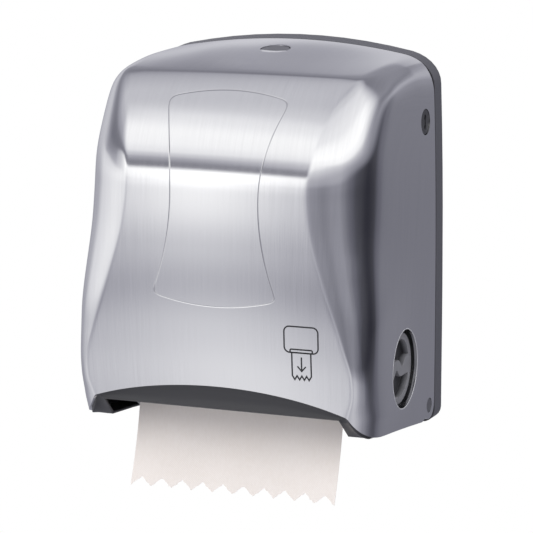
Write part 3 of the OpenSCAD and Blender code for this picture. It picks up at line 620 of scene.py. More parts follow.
# %% Points of the skin
def skin(col, fan, z, inset=0.0):
    col, fan, z = np.broadcast_arrays(np.asarray(col, float), np.asarray(fan, float), np.asarray(z, float))
    uy, uz = -np.sin(np.radians(fan)), np.cos(np.radians(fan))
    a0, rho = half_ribbon(fan, z), edge_reach(fan, z)
    r0 = rho - CORNER_SHARE * (ROUGH_HALF - a0)
    turn = CORNER_SHARE * (side_x(SEAM + r0 * uy, z + r0 * uz) - a0)
    wide = 0.5 * (turn + LOW_TURN + np.hypot(turn - LOW_TURN, LOW_TURN_EASE))
    rs = rho - turn - (wide - turn) * np.clip((LOW_TURN_Z - z) / LOW_TURN_HIGH, 0, 1)
    a, ra = a0 - 0.4 * inset, rho - inset
    w = side_x(SEAM + rs * uy, z + rs * uz, inset)
    t = CORNER_ARC * (col - SIDE_END) / (CORNER_END - SIDE_END)
    q = 1 - (col - CORNER_END) / (MIDDLE - CORNER_END)
    c_end, s_end = math.cos(CORNER_ARC), math.sin(CORNER_ARC)
    parts = [col <= SIDE_END, col <= CORNER_END]
    r = np.select(parts, [rs * col / SIDE_END, rs + (ra - rs) * np.sin(t) / s_end],
                  ra + bow(fan) * (1 - q * q))
    x = np.select(parts, [side_x(SEAM + r * uy, z + r * uz, inset),
                          a + (w - a) * (np.cos(t) - c_end) / (1 - c_end)], a * q)
    ahead = np.clip(r * np.sin(np.radians(fan)) / CREASE_AHEAD, 0, 1)
    fuller = SWELL + SHOULDER_SWELL * np.clip(1 - ((col - SHOULDER_COL) / SHOULDER_WIDE)**2, 0, 1)
    swell = np.where(fan < CREASE, fuller * ahead * (1 - ahead), 0) * np.clip((col - 2) / 2.5, 0, 1)
    return np.stack([x, SEAM + r * uy, z + r * uz + swell], -1)


def mouth_edge(col):
    """Height of the lower edge: a slope along the side, a rise round the corner, an arch over the mouth."""
    s = np.clip((col - SIDE_END) / (CORNER_END - SIDE_END), 0, 1)
    q = 1 - np.clip((col - CORNER_END) / (MIDDLE - CORNER_END), 0, 1)
    side = EDGE_SEAM + (EDGE_SIDE - EDGE_SEAM) * col / SIDE_END
    corner = EDGE_SIDE + (EDGE_CORNER - EDGE_SIDE) * s**EDGE_POWER
    arch = EDGE_CORNER + (EDGE_ARCH - EDGE_CORNER) * (1 - q * q)
    return FOOT + np.select([col <= SIDE_END, col <= CORNER_END], [side, corner], arch)


def runs(*parts):
    """Numbers in runs of their own density: (from, to, count) each, and only the last run has its end."""
    last = len(parts) - 1
    return np.concatenate([np.linspace(a, b, n, endpoint=i == last) for i, (a, b, n) in enumerate(parts)])


COLS = runs((0, 2.6, 7), (2.6, 4, 14), (4, 10.4, 26), (10.4, 11, 6), (11, 11.2, 5), (11.2, 16, 30))
FANS = runs((0, CREASE - 2, 26), (CREASE - 2, CREASE + 2, 9), (CREASE + 2, 90, 36))
LEVELS = np.linspace(0, 1, 92)[1:]


def skin_grid(inset):
    fan = skin(COLS[None], FANS[:, None], FAN, inset)
    fall = FAN + (mouth_edge(COLS)[None] - FAN) * LEVELS[:, None]
    half = np.concatenate([fan, skin(COLS[None], 90.0, fall, inset)], 0)
    return np.concatenate([half, half[:, -2::-1] * np.array([-1, 1, 1])], 1)


print("half sections of", len(COLS), "points,", len(FANS) + len(LEVELS), "sections")

# %% [markdown]
# A pressed skin has no knife-sharp creases. Points near a crease are averaged with their neighbours: along
# the edges of the ribbon and the shoulder line, where the flat side runs into the corner, and most of all
# at the point where deck, front and side meet.

# %% Worn creases
INNER_COLS = np.concatenate([COLS, COLS[-2::-1]])[None, 1:-1, None]
SECTIONS = np.concatenate([FANS, 90 + np.arange(1, len(LEVELS) + 1)])[:, None, None]
# Columns at the edge of the ribbon, sections either side of the crease, and sections at the shoulder line
EDGE_COLS, CREASE_SECTIONS, SHOULDER_SECTIONS = (10.3, 11.25), 2.2, (84, 98)
# Middle of the point where deck, front and side meet, and how far it reaches in columns and in sections
POINT_COL, POINT_COLS, POINT_SECTION, POINT_SECTIONS = 7, 5, CREASE + 2, 30


def along_row(g):
    return g[:, 2:] - 2 * g[:, 1:-1] + g[:, :-2]


def along_column(g):
    return g[2:] - 2 * g[1:-1] + g[:-2]


def soften_creases(grid, rounds):
    g = grid.copy()
    by_col = (INNER_COLS > EDGE_COLS[0]) & (INNER_COLS < EDGE_COLS[1])
    at_shoulder = (SECTIONS > SHOULDER_SECTIONS[0]) & (SECTIONS < SHOULDER_SECTIONS[1])
    by_row = ((abs(SECTIONS - CREASE) < CREASE_SECTIONS) | at_shoulder)[1:-1]
    for _ in range(rounds):
        g[:, 1:-1] += np.where(by_col, 0.25 * along_row(g), 0)
        g[1:-1] += np.where(by_row, 0.25 * along_column(g), 0)
    return g


def ease_corners(grid, rounds):
    g = grid.copy()
    share = 0.25 * np.clip((INNER_COLS - 2.7) / 0.6, 0, 1) * np.clip((8.5 - INNER_COLS) / 2, 0, 1)
    for _ in range(rounds):
        g[:, 1:-1] += share * along_row(g)
    return g


def round_shoulders(grid, rounds):
    g = grid.copy()
    by_col = np.clip(1 - ((INNER_COLS - POINT_COL) / POINT_COLS)**2, 0, 1)**2
    by_row = np.clip(1 - ((SECTIONS[1:-1] - POINT_SECTION) / POINT_SECTIONS)**2, 0, 1)**2
    share = 0.22 * by_col * by_row
    for _ in range(rounds):
        g[1:-1, 1:-1] += share * (along_row(g)[1:-1] + along_column(g)[:, 1:-1])
    return g


outer_grid = round_shoulders(ease_corners(soften_creases(skin_grid(0.0), 7), 40), 120)
inner_grid = round_shoulders(skin_grid(3.0), 120)
print("skin grid", outer_grid.shape)

# %% [markdown]
# The two grids become one closed shell. Its UV map holds real lengths along and across the skin, in metres,
# so the brushed lines follow it. Cutters are drawn as prisms, and each gets a Boolean modifier of its own.

# %% Shell and cutting tools
def shell_mesh(name, outer, inner):
    """A closed mesh from two grids of points that lie over each other."""
    rows, cols = outer.shape[:2]
    verts = np.concatenate([outer.reshape(-1, 3), inner.reshape(-1, 3)]) * MM
    o, i = np.arange(2 * rows * cols).reshape(2, rows, cols)

    def pairs(one, two):
        """Two sets of faces, taken in turn."""
        return np.stack([np.stack(one, -1), np.stack(two, -1)], -2).reshape(-1, 4)

    both = pairs((o[:-1, :-1], o[1:, :-1], o[1:, 1:], o[:-1, 1:]),
                 (i[:-1, :-1], i[:-1, 1:], i[1:, 1:], i[1:, :-1]))
    ends = pairs((o[0, :-1], o[0, 1:], i[0, 1:], i[0, :-1]), (o[-1, :-1], i[-1, :-1], i[-1, 1:], o[-1, 1:]))
    sides = pairs((o[:-1, 0], i[:-1, 0], i[1:, 0], o[1:, 0]), (o[:-1, -1], o[1:, -1], i[1:, -1], i[:-1, -1]))
    mesh = bpy.data.meshes.new(name)
    mesh.from_pydata(verts.tolist(), [], np.concatenate([both, ends, sides]).tolist())
    return mesh


def lay_lengths(mesh, grid):
    """A UV map with the lengths across and along the skin, counted from its middle and its first row."""
    across = np.cumsum(np.linalg.norm(np.diff(grid, axis=1, prepend=grid[:, :1]), axis=2), axis=1)
    across -= across[:, grid.shape[1] // 2][:, None]
    along = np.cumsum(np.linalg.norm(np.diff(grid, axis=0, prepend=grid[:1]), axis=2), axis=0)
    flat = np.stack([across, along], -1).reshape(-1, 2) * MM
    loops = np.empty(len(mesh.loops), int)
    mesh.loops.foreach_get("vertex_index", loops)
    mesh.uv_layers.new(name="skin").data.foreach_set("uv", np.concatenate([flat, flat])[loops].ravel())


def outward(mesh, merge=False):
    """A piece with all its faces turned outward; merged points close the ends of a fan."""
    bm = bmesh.new()
    bm.from_mesh(mesh)
    if merge:
        bmesh.ops.remove_doubles(bm, verts=bm.verts, dist=2e-6)
        bmesh.ops.dissolve_degenerate(bm, edges=bm.edges, dist=1e-7)
    bmesh.ops.recalc_face_normals(bm, faces=bm.faces)
    bm.to_mesh(mesh)
    bm.free()
    return add(mesh.name, mesh)


def solid(name, points, faces):
    mesh = bpy.data.meshes.new(name)
    mesh.from_pydata([[c * MM for c in p] for p in points], [], faces)
    return outward(mesh)


def sideways(u, v, d):
    return (d, u, v)


def upright(u, v, d):
    return (u, v, d)


def prism(name, outline, low, high, place=sideways):
    """A closed solid from a flat outline, drawn at two depths; place turns (u, v, depth) into a point."""
    n = len(outline)
    faces = [list(range(n))[::-1], list(range(n, 2 * n))]
    faces += [(i, (i + 1) % n, n + (i + 1) % n, n + i) for i in range(n)]
    return solid(name, [place(u, v, d) for d in (low, high) for u, v in outline], faces)


def disc(centre, radius):
    return [(centre[0] + u, centre[1] + v) for u, v in circle(radius, 96)]


def freeze(piece):
    """Turn a piece with modifiers into a plain mesh."""
    baked = bpy.data.meshes.new_from_object(piece.evaluated_get(bpy.context.evaluated_depsgraph_get()))
    piece.modifiers.clear()
    piece.data = baked
    return piece


def carve(target, joined, taken):
    tools = joined + taken
    for tool in tools:
        m = target.modifiers.new("carve", "BOOLEAN")
        m.operation = "UNION" if tool in joined else "DIFFERENCE"
        m.solver = "EXACT"
        m.object = tool
    freeze(target)
    for tool in tools:
        bpy.data.objects.remove(tool)


print("shell and cutting tools ready")

# %% [markdown]
# The cover has holes for the knob, the lock, the hinge pins and the release button, and its lower rear
# corners are rounded off so that it can swing. A thumb dish lies behind the half moon of the button: a
# large ball just touches the sloping deck there. Round thick places inside the skin carry the hinge pins
# and the lock.

# %% Cutters of the cover
HINGE, DRUM, LOCK = (-34.3, -162.0), (-105.5, -111.5), (-45.5, 110.0)
KNOB_HOLE, LOCK_HOLE, LOCK_SEAT, PIN_HOLE = 37, 12.2, 14.7, 7.08
LOCK_BOSS, PIN_BOSS, PIN_BOSS_IN = 17.8, 11.5, 138.9
LOCK_IN = float(side_x(*LOCK)) - 3.0
PIN_SIDE = float(side_x(*HINGE))
INSIDE_X, OUTSIDE_X, KNOB_HOLE_X, LOCK_HOLE_X = 126, 160, 118, 130
MOON_R, MOON_FRONT, MOON_GAP = 13.8, -5, 0.5
BUTTON_Y, TOP_FALL = -65.0, DECK_FALL + 0.0605
TOP_Z = FAN + DECK_RISE + BOW_BACK + TOP_FALL * (BUTTON_Y - SEAM)
DISH_R, DISH_DEPTH, DISH_CROP = 150.0, 0.2, 12
HEEL_R, HEEL_START, SLANT, FAR_OUT = 13.4, math.radians(50), (29, 14.2), 40


def moon():
    radius = MOON_R + MOON_GAP
    start = math.asin((MOON_FRONT - MOON_GAP) / radius)
    return [(u, BUTTON_Y + v) for u, v in arc(radius, start, math.pi - start, 60)]


def corner_cut():
    """What a lower rear corner loses: all below a round about the hinge and a slanting line before it."""
    y, z = HINGE
    heel = [(y - u, z - v) for u, v in arc(HEEL_R, HEEL_START, math.pi, 40)]
    far = [(y + FAR_OUT, z), (y + FAR_OUT, z - FAR_OUT), (y - SLANT[0], z - FAR_OUT)]
    return [(y - SLANT[0], z - SLANT[1])] + heel + far


def dish():
    tilt, reach = math.atan(TOP_FALL), DISH_R - DISH_DEPTH
    heart = (0, BUTTON_Y - reach * math.sin(tilt), TOP_Z + reach * math.cos(tilt))
    ball = bmesh.new()
    bmesh.ops.create_uvsphere(ball, u_segments=256, v_segments=160, radius=DISH_R * MM,
                              matrix=Matrix.Translation([c * MM for c in heart]))
    upper = [v for v in ball.verts if v.co.z > (TOP_Z + DISH_CROP) * MM]
    bmesh.ops.delete(ball, geom=upper, context="VERTS")
    bmesh.ops.holes_fill(ball, edges=ball.edges)
    mesh = bpy.data.meshes.new("cut_dish")
    ball.to_mesh(mesh)
    ball.free()
    return outward(mesh)


cutters = [prism("cut_knob", disc(DRUM, KNOB_HOLE), KNOB_HOLE_X, OUTSIDE_X),
           prism("cut_lock", disc(LOCK, LOCK_HOLE), LOCK_HOLE_X, OUTSIDE_X),
           prism("cut_lock_seat", disc(LOCK, LOCK_SEAT), LOCK_IN - 9, LOCK_IN - 0.9),
           prism("cut_button", moon(), TOP_Z - 20, TOP_Z + 20, upright)]
bosses = [prism("lock_boss", disc(LOCK, LOCK_BOSS), LOCK_IN - 5, LOCK_IN + 1)]
for side in (-1, 1):
    cutters.append(prism("cut_pin", disc(HINGE, PIN_HOLE), side * INSIDE_X, side * OUTSIDE_X))
    cutters.append(prism("cut_corner", corner_cut(), side * INSIDE_X, side * OUTSIDE_X))
    bosses.append(prism("pin_boss", disc(HINGE, PIN_BOSS), side * PIN_BOSS_IN, side * (PIN_SIDE - 1.5)))
cutters.append(dish())
print("cutters:", len(cutters), "bosses:", len(bosses))

# %% Cut the cover
def smooth(piece, degrees):
    for face in piece.data.polygons:
        face.use_smooth = True
    piece.data.set_sharp_from_angle(angle=math.radians(degrees))


def dress(piece, body, slot, *nodes, finish=None):
    piece.data.materials.clear()
    piece.data.materials.append(finish or FINISH[slot])
    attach(piece, body)
    if nodes:
        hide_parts(*nodes)


cover_mesh = shell_mesh("brushed_front_cover", outer_grid, inner_grid)
lay_lengths(cover_mesh, outer_grid)
cover = outward(cover_mesh, merge=True)
carve(cover, bosses, cutters)
smooth(cover, 24)
dress(cover, "cover", "silver_cover", "front_cover")
print("cover faces:", len(cover.data.polygons))

# %% [markdown]
# The hole for the knob is punched through the skin, and its edge is turned over. A thin ring, drawn as a
# torus that follows the slope of the side, stands for that edge; its pale, half-metallic finish is a
# painted highlight that gives the bright line along it.

# %% Edge of the knob hole
def edge_ring(name, centre, radius, wire, turns=120, sides=10):
    points, faces = [], []
    for i, (v, w) in enumerate(circle(1.0, turns)):
        x = float(side_x(centre[0] + radius * v, centre[1] + radius * w))
        for k, (rise, out) in enumerate(circle(wire, sides)):
            far = radius + out
            points.append((x + rise - 0.4 * wire, centre[0] + far * v, centre[1] + far * w))
            m, j = (i + 1) % turns, (k + 1) % sides
            faces.append((i * sides + k, m * sides + k, m * sides + j, i * sides + j))
    return solid(name, points, faces)


# Painted highlight: a pale, rough, half-metallic finish that makes the edge of the knob hole read as a
# bright line
edge_highlight = Finish("knob_hole_edge_painted_highlight", (0.8, 0.8, 0.82), 0.4, 0.35)
edge_highlight.set("Base Color", edge_highlight.mix(edge_highlight.noise(700.0, detail=3.0), (0.68, 0.68, 0.70), (0.86, 0.86, 0.88)))
edge_highlight.set("Roughness", 0.34 + edge_highlight.noise(240.0) * 0.14)
hole_edge = edge_ring("knob_hole_edge", DRUM, KNOB_HOLE + 0.1, 0.45)
smooth(hole_edge, 60)
dress(hole_edge, "cover", "silver_cover", finish=edge_highlight.material)
print("hole edge faces:", len(hole_edge.data.polygons))

# %% [markdown]
# ## Plastic pieces with softened edges
# The solids have knife-sharp edges, and no moulded piece does. A copy of the solid's mesh is merged, its
# flat faces are joined, and a narrow Bevel rounds every edge that turns sharply. Weighted normals keep the
# flat faces flat to the light. The copy stands in for the solid.

# %% Softened copies
BODY_OF = {node: body for body, names in frame["record"]["behaviour"]["bodies"].items() for node in names}


def round_edges(piece, width, segments=2):
    m = piece.modifiers.new("round_edges", "BEVEL")
    m.width = width * MM
    m.segments = segments
    m.limit_method = "ANGLE"
    m.angle_limit = math.radians(32)
    m.use_clamp_overlap = True
    freeze(piece)
    smooth(piece, 30)
    piece.modifiers.new("flat_faces", "WEIGHTED_NORMAL").keep_sharp = True
    freeze(piece)


def soften(node, name, slot, width, finish):
    bm = bmesh.new()
    bm.from_mesh(NODES[node].data)
    bmesh.ops.remove_doubles(bm, verts=bm.verts, dist=5e-6)
    bmesh.ops.dissolve_limit(bm, angle_limit=math.radians(0.3), verts=bm.verts, edges=bm.edges)
    mesh = bpy.data.meshes.new(name)
    bm.to_mesh(mesh)
    bm.free()
    piece = add(name, mesh)
    round_edges(piece, width)
    dress(piece, BODY_OF[node], slot, node, finish=finish)
    return piece


SOFTENED = [
    ("dark_plastic", "dark_plastic", [("hinge_pins", "hinge_pin_heads", 0.4)]),
    ("inner_plastic", "inner_plastic", [
        ("latch_guide", "button_guide", 0.3), ("lock_clip", "lock_retainer", 0.3),
        ("right_frame", "frame_plate_right", 0.35), ("left_frame", "frame_plate_left", 0.35),
        ("drum_guard", "drum_trough", 0.35), ("feed_drum", "drum_shell", 0.35),
        ("crank_disc", "crank", 0.4), ("knife_carrier", "knife_bar", 0.25),
        ("right_arm", "roll_arm_fixed", 0.5), ("left_arm", "roll_arm_swinging", 0.5),
        ("arm_bracket", "arm_hinge_bracket", 0.35)]),
    ("white_plastic", "white_plastic", [
        ("drum_bushes", "axle_bushes", 0.25), ("right_hub", "roll_hub_right", 0.5),
        ("left_hub", "roll_hub_left", 0.5)]),
    # The bezel and the lock barrel take the charcoal darkened as painted shade
    ("dark_plastic", "mouth_plastic_painted_shade", [
        ("throat_bezel", "mouth_bezel", 0.4), ("lock_barrel", "key_lock_barrel", 0.3)]),
    ("dark_plastic", "housing_plastic", [("rear_housing", "housing_with_rim", 0.5)]),
    ("dark_plastic", "button_plastic", [("release_button", "half_moon_button", 0.5)])]
for slot, finish, group in SOFTENED:
    for node, name, width in group:
        soften(node, name, slot, width, FINISH[finish])

# %% [markdown]
# The knob is turned by a finger in one of two scoops. Each scoop has a round lobe that reaches past the
# middle, so the bar between them is bent like an S. The lobe is a bell curve: smooth, and easy to move or
# widen. The lower scoop is the upper one turned by half a turn.

# %% Finger knob
KNOB_FACE, KNOB_R, KNOB_THICK, SCOOP_R, SCOOP_DEPTH = 139.0, 33.5, 13, 27.0, 7
HUB_R, HUB_IN, BORE_R, BORE_IN = 11, 115, 6, 110
BAR, LOBE, LOBE_AT, LOBE_WIDTH = 8.7, 7.9, 8.0, 6.5


def scoop(turn):
    across = np.linspace(-1, 1, 61) * math.sqrt(SCOOP_R**2 - BAR**2)
    edge = [(u, BAR - LOBE * math.exp(-((u - LOBE_AT) / LOBE_WIDTH)**2)) for u in across[:-1]]
    start = math.asin(BAR / SCOOP_R)
    rim = arc(SCOOP_R, start, math.pi - start, 60)[:-1]
    outline = [(DRUM[0] + turn * u, DRUM[1] + turn * v) for u, v in edge + rim]
    return prism("cut_scoop", outline, KNOB_FACE - SCOOP_DEPTH, KNOB_FACE + 5)


knob = prism("finger_knob", disc(DRUM, KNOB_R), KNOB_FACE - KNOB_THICK, KNOB_FACE)
hub = prism("knob_hub", disc(DRUM, HUB_R), HUB_IN, KNOB_FACE - KNOB_THICK + 0.5)
bore = prism("cut_bore", disc(DRUM, BORE_R), BORE_IN, KNOB_FACE - 8)
carve(knob, [hub], [bore, scoop(1), scoop(-1)])
round_edges(knob, 0.8, 3)
dress(knob, "drum", "dark_plastic", "feed_knob", finish=FINISH["knob_plastic"])
print("knob faces:", len(knob.data.polygons))

# %% [markdown]
# Rods, pins and the blade keep their own solids, which are already right, and take a finish on their
# material slots.

# %% Finishes on the remaining solids
PAINTED = {"steel": ("lock_cam", "tie_rods", "drum_axle", "pinch_shaft", "arm_pin", "knife_blade"),
           "rubber": ("grip_bands", "pinch_sleeves"),
           "spring_steel": ("pinch_springs",),
           "core": ("roll_core",)}
for finish, nodes in PAINTED.items():
    for node in nodes:
        if not NODES[node].material_slots:
            NODES[node].data.materials.append(None)
        for place in NODES[node].material_slots:
            place.link = "OBJECT"
            place.material = FINISH[finish]
print("painted solids:", sum(len(nodes) for nodes in PAINTED.values()))

# %% [markdown]
# ## Geometry Nodes recipes
# What repeats or follows a path is made by Geometry Nodes. `Recipe` builds a node group with named sizes.
# `make` puts it on a mesh of points or of a path, sets each size by its socket's identifier, and keeps the
# result as a plain mesh, because a modifier would not travel with the part.

# %% Recipes
class Recipe(Tree):
    def __init__(self, name, sizes):
        self.group = bpy.data.node_groups.new(name, "GeometryNodeTree")
        super().__init__(self.group.nodes, self.group.links)
        face = self.group.interface
        face.new_socket("Geometry", in_out="INPUT", socket_type="NodeSocketGeometry")
        self.keys = {}
        for label, kind, value in sizes + [("Finish", "NodeSocketMaterial", None)]:
            socket = face.new_socket(label, in_out="INPUT", socket_type=kind)
            if value is not None:
                socket.default_value = value
            self.keys[label] = socket.identifier
        face.new_socket("Geometry", in_out="OUTPUT", socket_type="NodeSocketGeometry")
        self.given = self.nodes.new("NodeGroupInput")
        self.result = self.nodes.new("NodeGroupOutput")

    def size(self, label):
        return Wire(self, self.given.outputs[label])

    def join(self, *parts):
        whole = self.node("GeometryNodeJoinGeometry")
        for part in parts:
            self.links.new(part.socket, whole.socket.node.inputs[0])
        return whole

    def lift(self, mesh, height):
        spot = self.node("ShaderNodeCombineXYZ", {}, {2: height})
        return self.node("GeometryNodeTransform", {}, {"Geometry": mesh, "Translation": spot})

    def end(self, geometry):
        real = self.node("GeometryNodeRealizeInstances", {}, {0: geometry})
        painted = self.node("GeometryNodeSetMaterial", {}, {0: real, "Material": self.size("Finish")})
        self.links.new(painted.socket, self.result.inputs[0])

    def make(self, name, points, path=False, **sizes):
        mesh = bpy.data.meshes.new(name)
        edges = [(i, i + 1) for i in range(len(points) - 1)] if path else []
        mesh.from_pydata([[c * MM for c in p] for p in points], edges, [])
        piece = add(name, mesh)
        m = piece.modifiers.new("recipe", "NODES")
        m.node_group = self.group
        for label, value in sizes.items():
            m[self.keys[label.replace("_", " ")]] = value
        return freeze(piece)


FLOAT, INT, TURN = "NodeSocketFloat", "NodeSocketInt", "NodeSocketRotation"
print("recipe class ready")

# %% [markdown]
# ### Springs
# A spring is one wire along one path: a hook round the crank pin, a close coil, a hook round the post. The
# path is worked out point by point, and the recipe sweeps a round section along it. The button's spring is
# an open coil.

# %% Wire along a path
r = wire_recipe = Recipe("wire_on_path", [("Wire Radius", FLOAT, 0.0007), ("Sides", INT, 10)])
path_curve = r.node("GeometryNodeMeshToCurve", {}, {0: r.size("Geometry")})
section = r.node("GeometryNodeCurvePrimitiveCircle", {}, {
    "Resolution": r.size("Sides"), "Radius": r.size("Wire Radius")})
r.end(r.node("GeometryNodeCurveToMesh", {}, {
    "Curve": path_curve, "Profile Curve": section, "Fill Caps": True}))


def coil(radius, turns, low, high, each=26):
    count = int(turns * each)
    return [(radius * math.cos(2 * math.pi * i / each), radius * math.sin(2 * math.pi * i / each),
             low + (high - low) * i / count) for i in range(count + 1)]


def cut_corners(points):
    """Cut the corners of a path, so that its hooks run smoothly into the coil."""
    inner = []
    for a, b in zip(points, points[1:]):
        inner.append(tuple(0.75 * u + 0.25 * v for u, v in zip(a, b)))
        inner.append(tuple(0.25 * u + 0.75 * v for u, v in zip(a, b)))
    return [points[0]] + inner + [points[-1]]


print("wire recipe nodes:", len(r.nodes))

# %% [markdown]
# The return spring hangs between the crank pin, which turns with the drum, and a post on the frame. Its own
# axis runs from the pin to the post, so it is drawn upright first and then turned onto that line.

# %% Springs
POST, CRANK_R, SPRING_X = (-42.0, -73.5), 16.0, -126.2
CRANK_A = math.atan2(POST[1] - DRUM[1], POST[0] - DRUM[0])
FAR = math.hypot(POST[0] - DRUM[0], POST[1] - DRUM[1]) - CRANK_R
PIN = (SPRING_X, DRUM[0] + CRANK_R * math.cos(CRANK_A), DRUM[1] + CRANK_R * math.sin(CRANK_A))
PLATE_Z = TOP_Z - 18


def on_crank(p):
    c, s = math.cos(CRANK_A), math.sin(CRANK_A)
    return (PIN[0] + p[0], PIN[1] + p[1] * s + p[2] * c, PIN[2] - p[1] * c + p[2] * s)


def hook(start, step, middle, width, height):
    turns = [math.radians(start + step * i) for i in range(15)]
    return [(0, width * math.cos(a), middle + height * math.sin(a)) for a in turns]


upright_path = (hook(-210, 15, 0, 4.4, 4.4) + [(1.6, 3.6, 3.2)] + coil(4.2, 15, 8, FAR - 8, 16)
                + [(2.6, -2.4, FAR - 5.4)] + hook(180, -15, FAR, 4.4, 5.4))
spring_path = [on_crank(p) for p in cut_corners(upright_path)]
crank_spring = wire_recipe.make("crank_return_spring", spring_path, path=True, Wire_Radius=0.00066, Sides=10,
                                Finish=FINISH["spring_steel"])
smooth(crank_spring, 50)
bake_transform(crank_spring)
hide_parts("return_spring")
button_path = [(x, BUTTON_Y + y, PLATE_Z + z) for x, y, z in coil(6.4, 3, 3.2, 8.6)]
button_coil = wire_recipe.make("button_return_spring", button_path, path=True, Wire_Radius=0.00045, Sides=10,
                               Finish=FINISH["spring_steel"])
smooth(button_coil, 50)
dress(button_coil, "cover", "spring_steel", "button_spring")
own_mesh(button_coil)
print("springs:", len(crank_spring.data.polygons), "and", len(button_coil.data.polygons), "faces")

# %% [markdown]
# ### Screws
# All screws have one shape: a pan head with a cross recess, and a plain shank. The recipe makes one screw,
# cuts the cross with a mesh boolean and sets a copy on each point.

# %% Screws on points
r = screw_recipe = Recipe("screws_on_points", [
    ("Head Radius", FLOAT, 0.0034), ("Head Height", FLOAT, 0.002), ("Shank Radius", FLOAT, 0.0016),
    ("Shank Length", FLOAT, 0.0068), ("Turn", TURN, None)])
head_r, head_h, length = r.size("Head Radius"), r.size("Head Height"), r.size("Shank Length")
head = r.node("GeometryNodeMeshCone", {}, {
    "Vertices": 40, "Radius Top": head_r * 0.82, "Radius Bottom": head_r, "Depth": head_h})
bars = []
for wide, deep in ((1.25, 0.24), (0.24, 1.25)):
    size = r.node("ShaderNodeCombineXYZ", {}, {0: head_r * wide, 1: head_r * deep, 2: head_h * 1.3})
    bars.append(r.lift(r.node("GeometryNodeMeshCube", {}, {"Size": size}), head_h * 1.1))
crossed = r.node("GeometryNodeMeshBoolean", {"operation": "DIFFERENCE", "solver": "EXACT"}, {
    "Mesh 1": head, "Mesh 2": r.join(*bars)})
shank = r.node("GeometryNodeMeshCylinder", {}, {
    "Vertices": 24, "Radius": r.size("Shank Radius"), "Depth": length})
r.end(r.node("GeometryNodeInstanceOnPoints", {}, {
    "Points": r.size("Geometry"), "Instance": r.join(crossed, r.lift(shank, length * -0.5)),
    "Rotation": r.size("Turn")}))
print("screw recipe nodes:", len(r.nodes))

# %% Frame screws and blade screws
FRAME_SCREWS = [(x, -6.0, z) for x in (-118, 118) for z in (DRUM[1] - 26, DRUM[1] + 26, 29.0, 61.0)]
KNIFE_PIVOT, KNIFE_TURN, DRUM_TURN = (-20, 20), math.radians(-57), math.radians(-30)


def turned(y, z, angle, centre):
    return (centre[0] + y * math.cos(angle) - z * math.sin(angle),
            centre[1] + y * math.sin(angle) + z * math.cos(angle))


frame_screw_set = screw_recipe.make("frame_screw_set", FRAME_SCREWS, Turn=(math.pi / 2, 0, 0),
                                    Shank_Length=0.0048, Finish=FINISH["steel"])
smooth(frame_screw_set, 30)
dress(frame_screw_set, "chassis", "steel", "frame_screws")
# The blade screws are placed in the knife, which is turned in the drum, which is turned in the frame
blade_y, blade_z = turned(*turned(3.05, 18, KNIFE_TURN, KNIFE_PIVOT), DRUM_TURN, DRUM)
BLADE_SCREWS = [(i * 40, blade_y, blade_z) for i in range(-2, 3)]
blade_screw_set = screw_recipe.make("blade_screw_set", BLADE_SCREWS, Turn=(math.radians(-177), 0, 0),
                                    Head_Radius=0.0028, Head_Height=0.0011, Shank_Radius=0.0015,
                                    Shank_Length=0.0045, Finish=FINISH["steel"])
smooth(blade_screw_set, 30)
dress(blade_screw_set, "knife", "steel", "blade_screws")
print("screws:", len(FRAME_SCREWS), "and", len(BLADE_SCREWS))

# %% [markdown]
# ### The paper roll
# A full roll is one long web wound on its core. A spiral curve carries a flat section as wide as the towel,
# so the ends show real layers with a fine gap between them.

# %% Wound roll
ROLL, ROLL_R = (-102.0, 45.0), 92.0
r = roll_recipe = Recipe("wound_roll", [
    ("Turns", FLOAT, 84.0), ("Inner Radius", FLOAT, 0.0224), ("Outer Radius", FLOAT, 0.0916),
    ("Width", FLOAT, 0.2030), ("Layer", FLOAT, 0.0007)])
spiral = r.node("GeometryNodeCurveSpiral", {}, {
    "Resolution": 48, "Rotations": r.size("Turns"), "Start Radius": r.size("Inner Radius"),
    "End Radius": r.size("Outer Radius"), "Height": 0.0})
level_spiral = r.node("GeometryNodeSetCurveNormal", {"mode": "Z_UP"}, {0: spiral})
band = r.node("GeometryNodeCurvePrimitiveQuadrilateral", {}, {
    "Width": r.size("Layer"), "Height": r.size("Width")})
wound = r.node("GeometryNodeCurveToMesh", {}, {
    "Curve": level_spiral, "Profile Curve": band, "Fill Caps": True})
r.end(r.node("GeometryNodeTransform", {}, {
    "Geometry": wound, "Translation": (0.0, ROLL[0] * MM, ROLL[1] * MM),
    "Rotation": (0.0, math.pi / 2, 0.0)}))
roll = roll_recipe.make("wound_paper_roll", [(0, 0, 0)], Finish=FINISH["roll"])
smooth(roll, 40)
dress(roll, "towel_roll", "roll", "paper_roll")
corners = np.array([v.co for v in roll.data.vertices])
print("roll from", corners.min(0).round(4), "to", corners.max(0).round(4), len(roll.data.polygons), "faces")

# %% [markdown]
# ## The hanging towel
# The web leaves the roll, runs round the front of the drum and hangs down with a slight forward curl. Its
# lower edge is torn along the knife's ten teeth. It is a sheet: two grids a third of a millimetre apart,
# joined at their edges, with gentle waves that grow towards the free end.

# %% Towel sheet
HALF, WEB_R, DROP, TEETH, TOOTH, THICK = 101.6, 44.5, 117.0, 10, 7.9, 0.3
FORWARD, FORWARD_POWER = 25, 1.9
ROWS_WEB, ROWS_DRUM, ROWS_FREE, TOWEL_COLS = 14, 18, 64, 161
WEB_DY, WEB_DZ = DRUM[0] - ROLL[0], DRUM[1] - ROLL[1]
WEB_CROSS = math.asin((44.3 + ROLL_R + 0.6) / math.hypot(WEB_DY, WEB_DZ))
WEB_UP = math.pi / 2 - math.atan2(-WEB_DZ, -WEB_DY) + WEB_CROSS


def on_drum(angle):
    return np.array([DRUM[0] - WEB_R * math.cos(angle), DRUM[1] + WEB_R * math.sin(angle)])


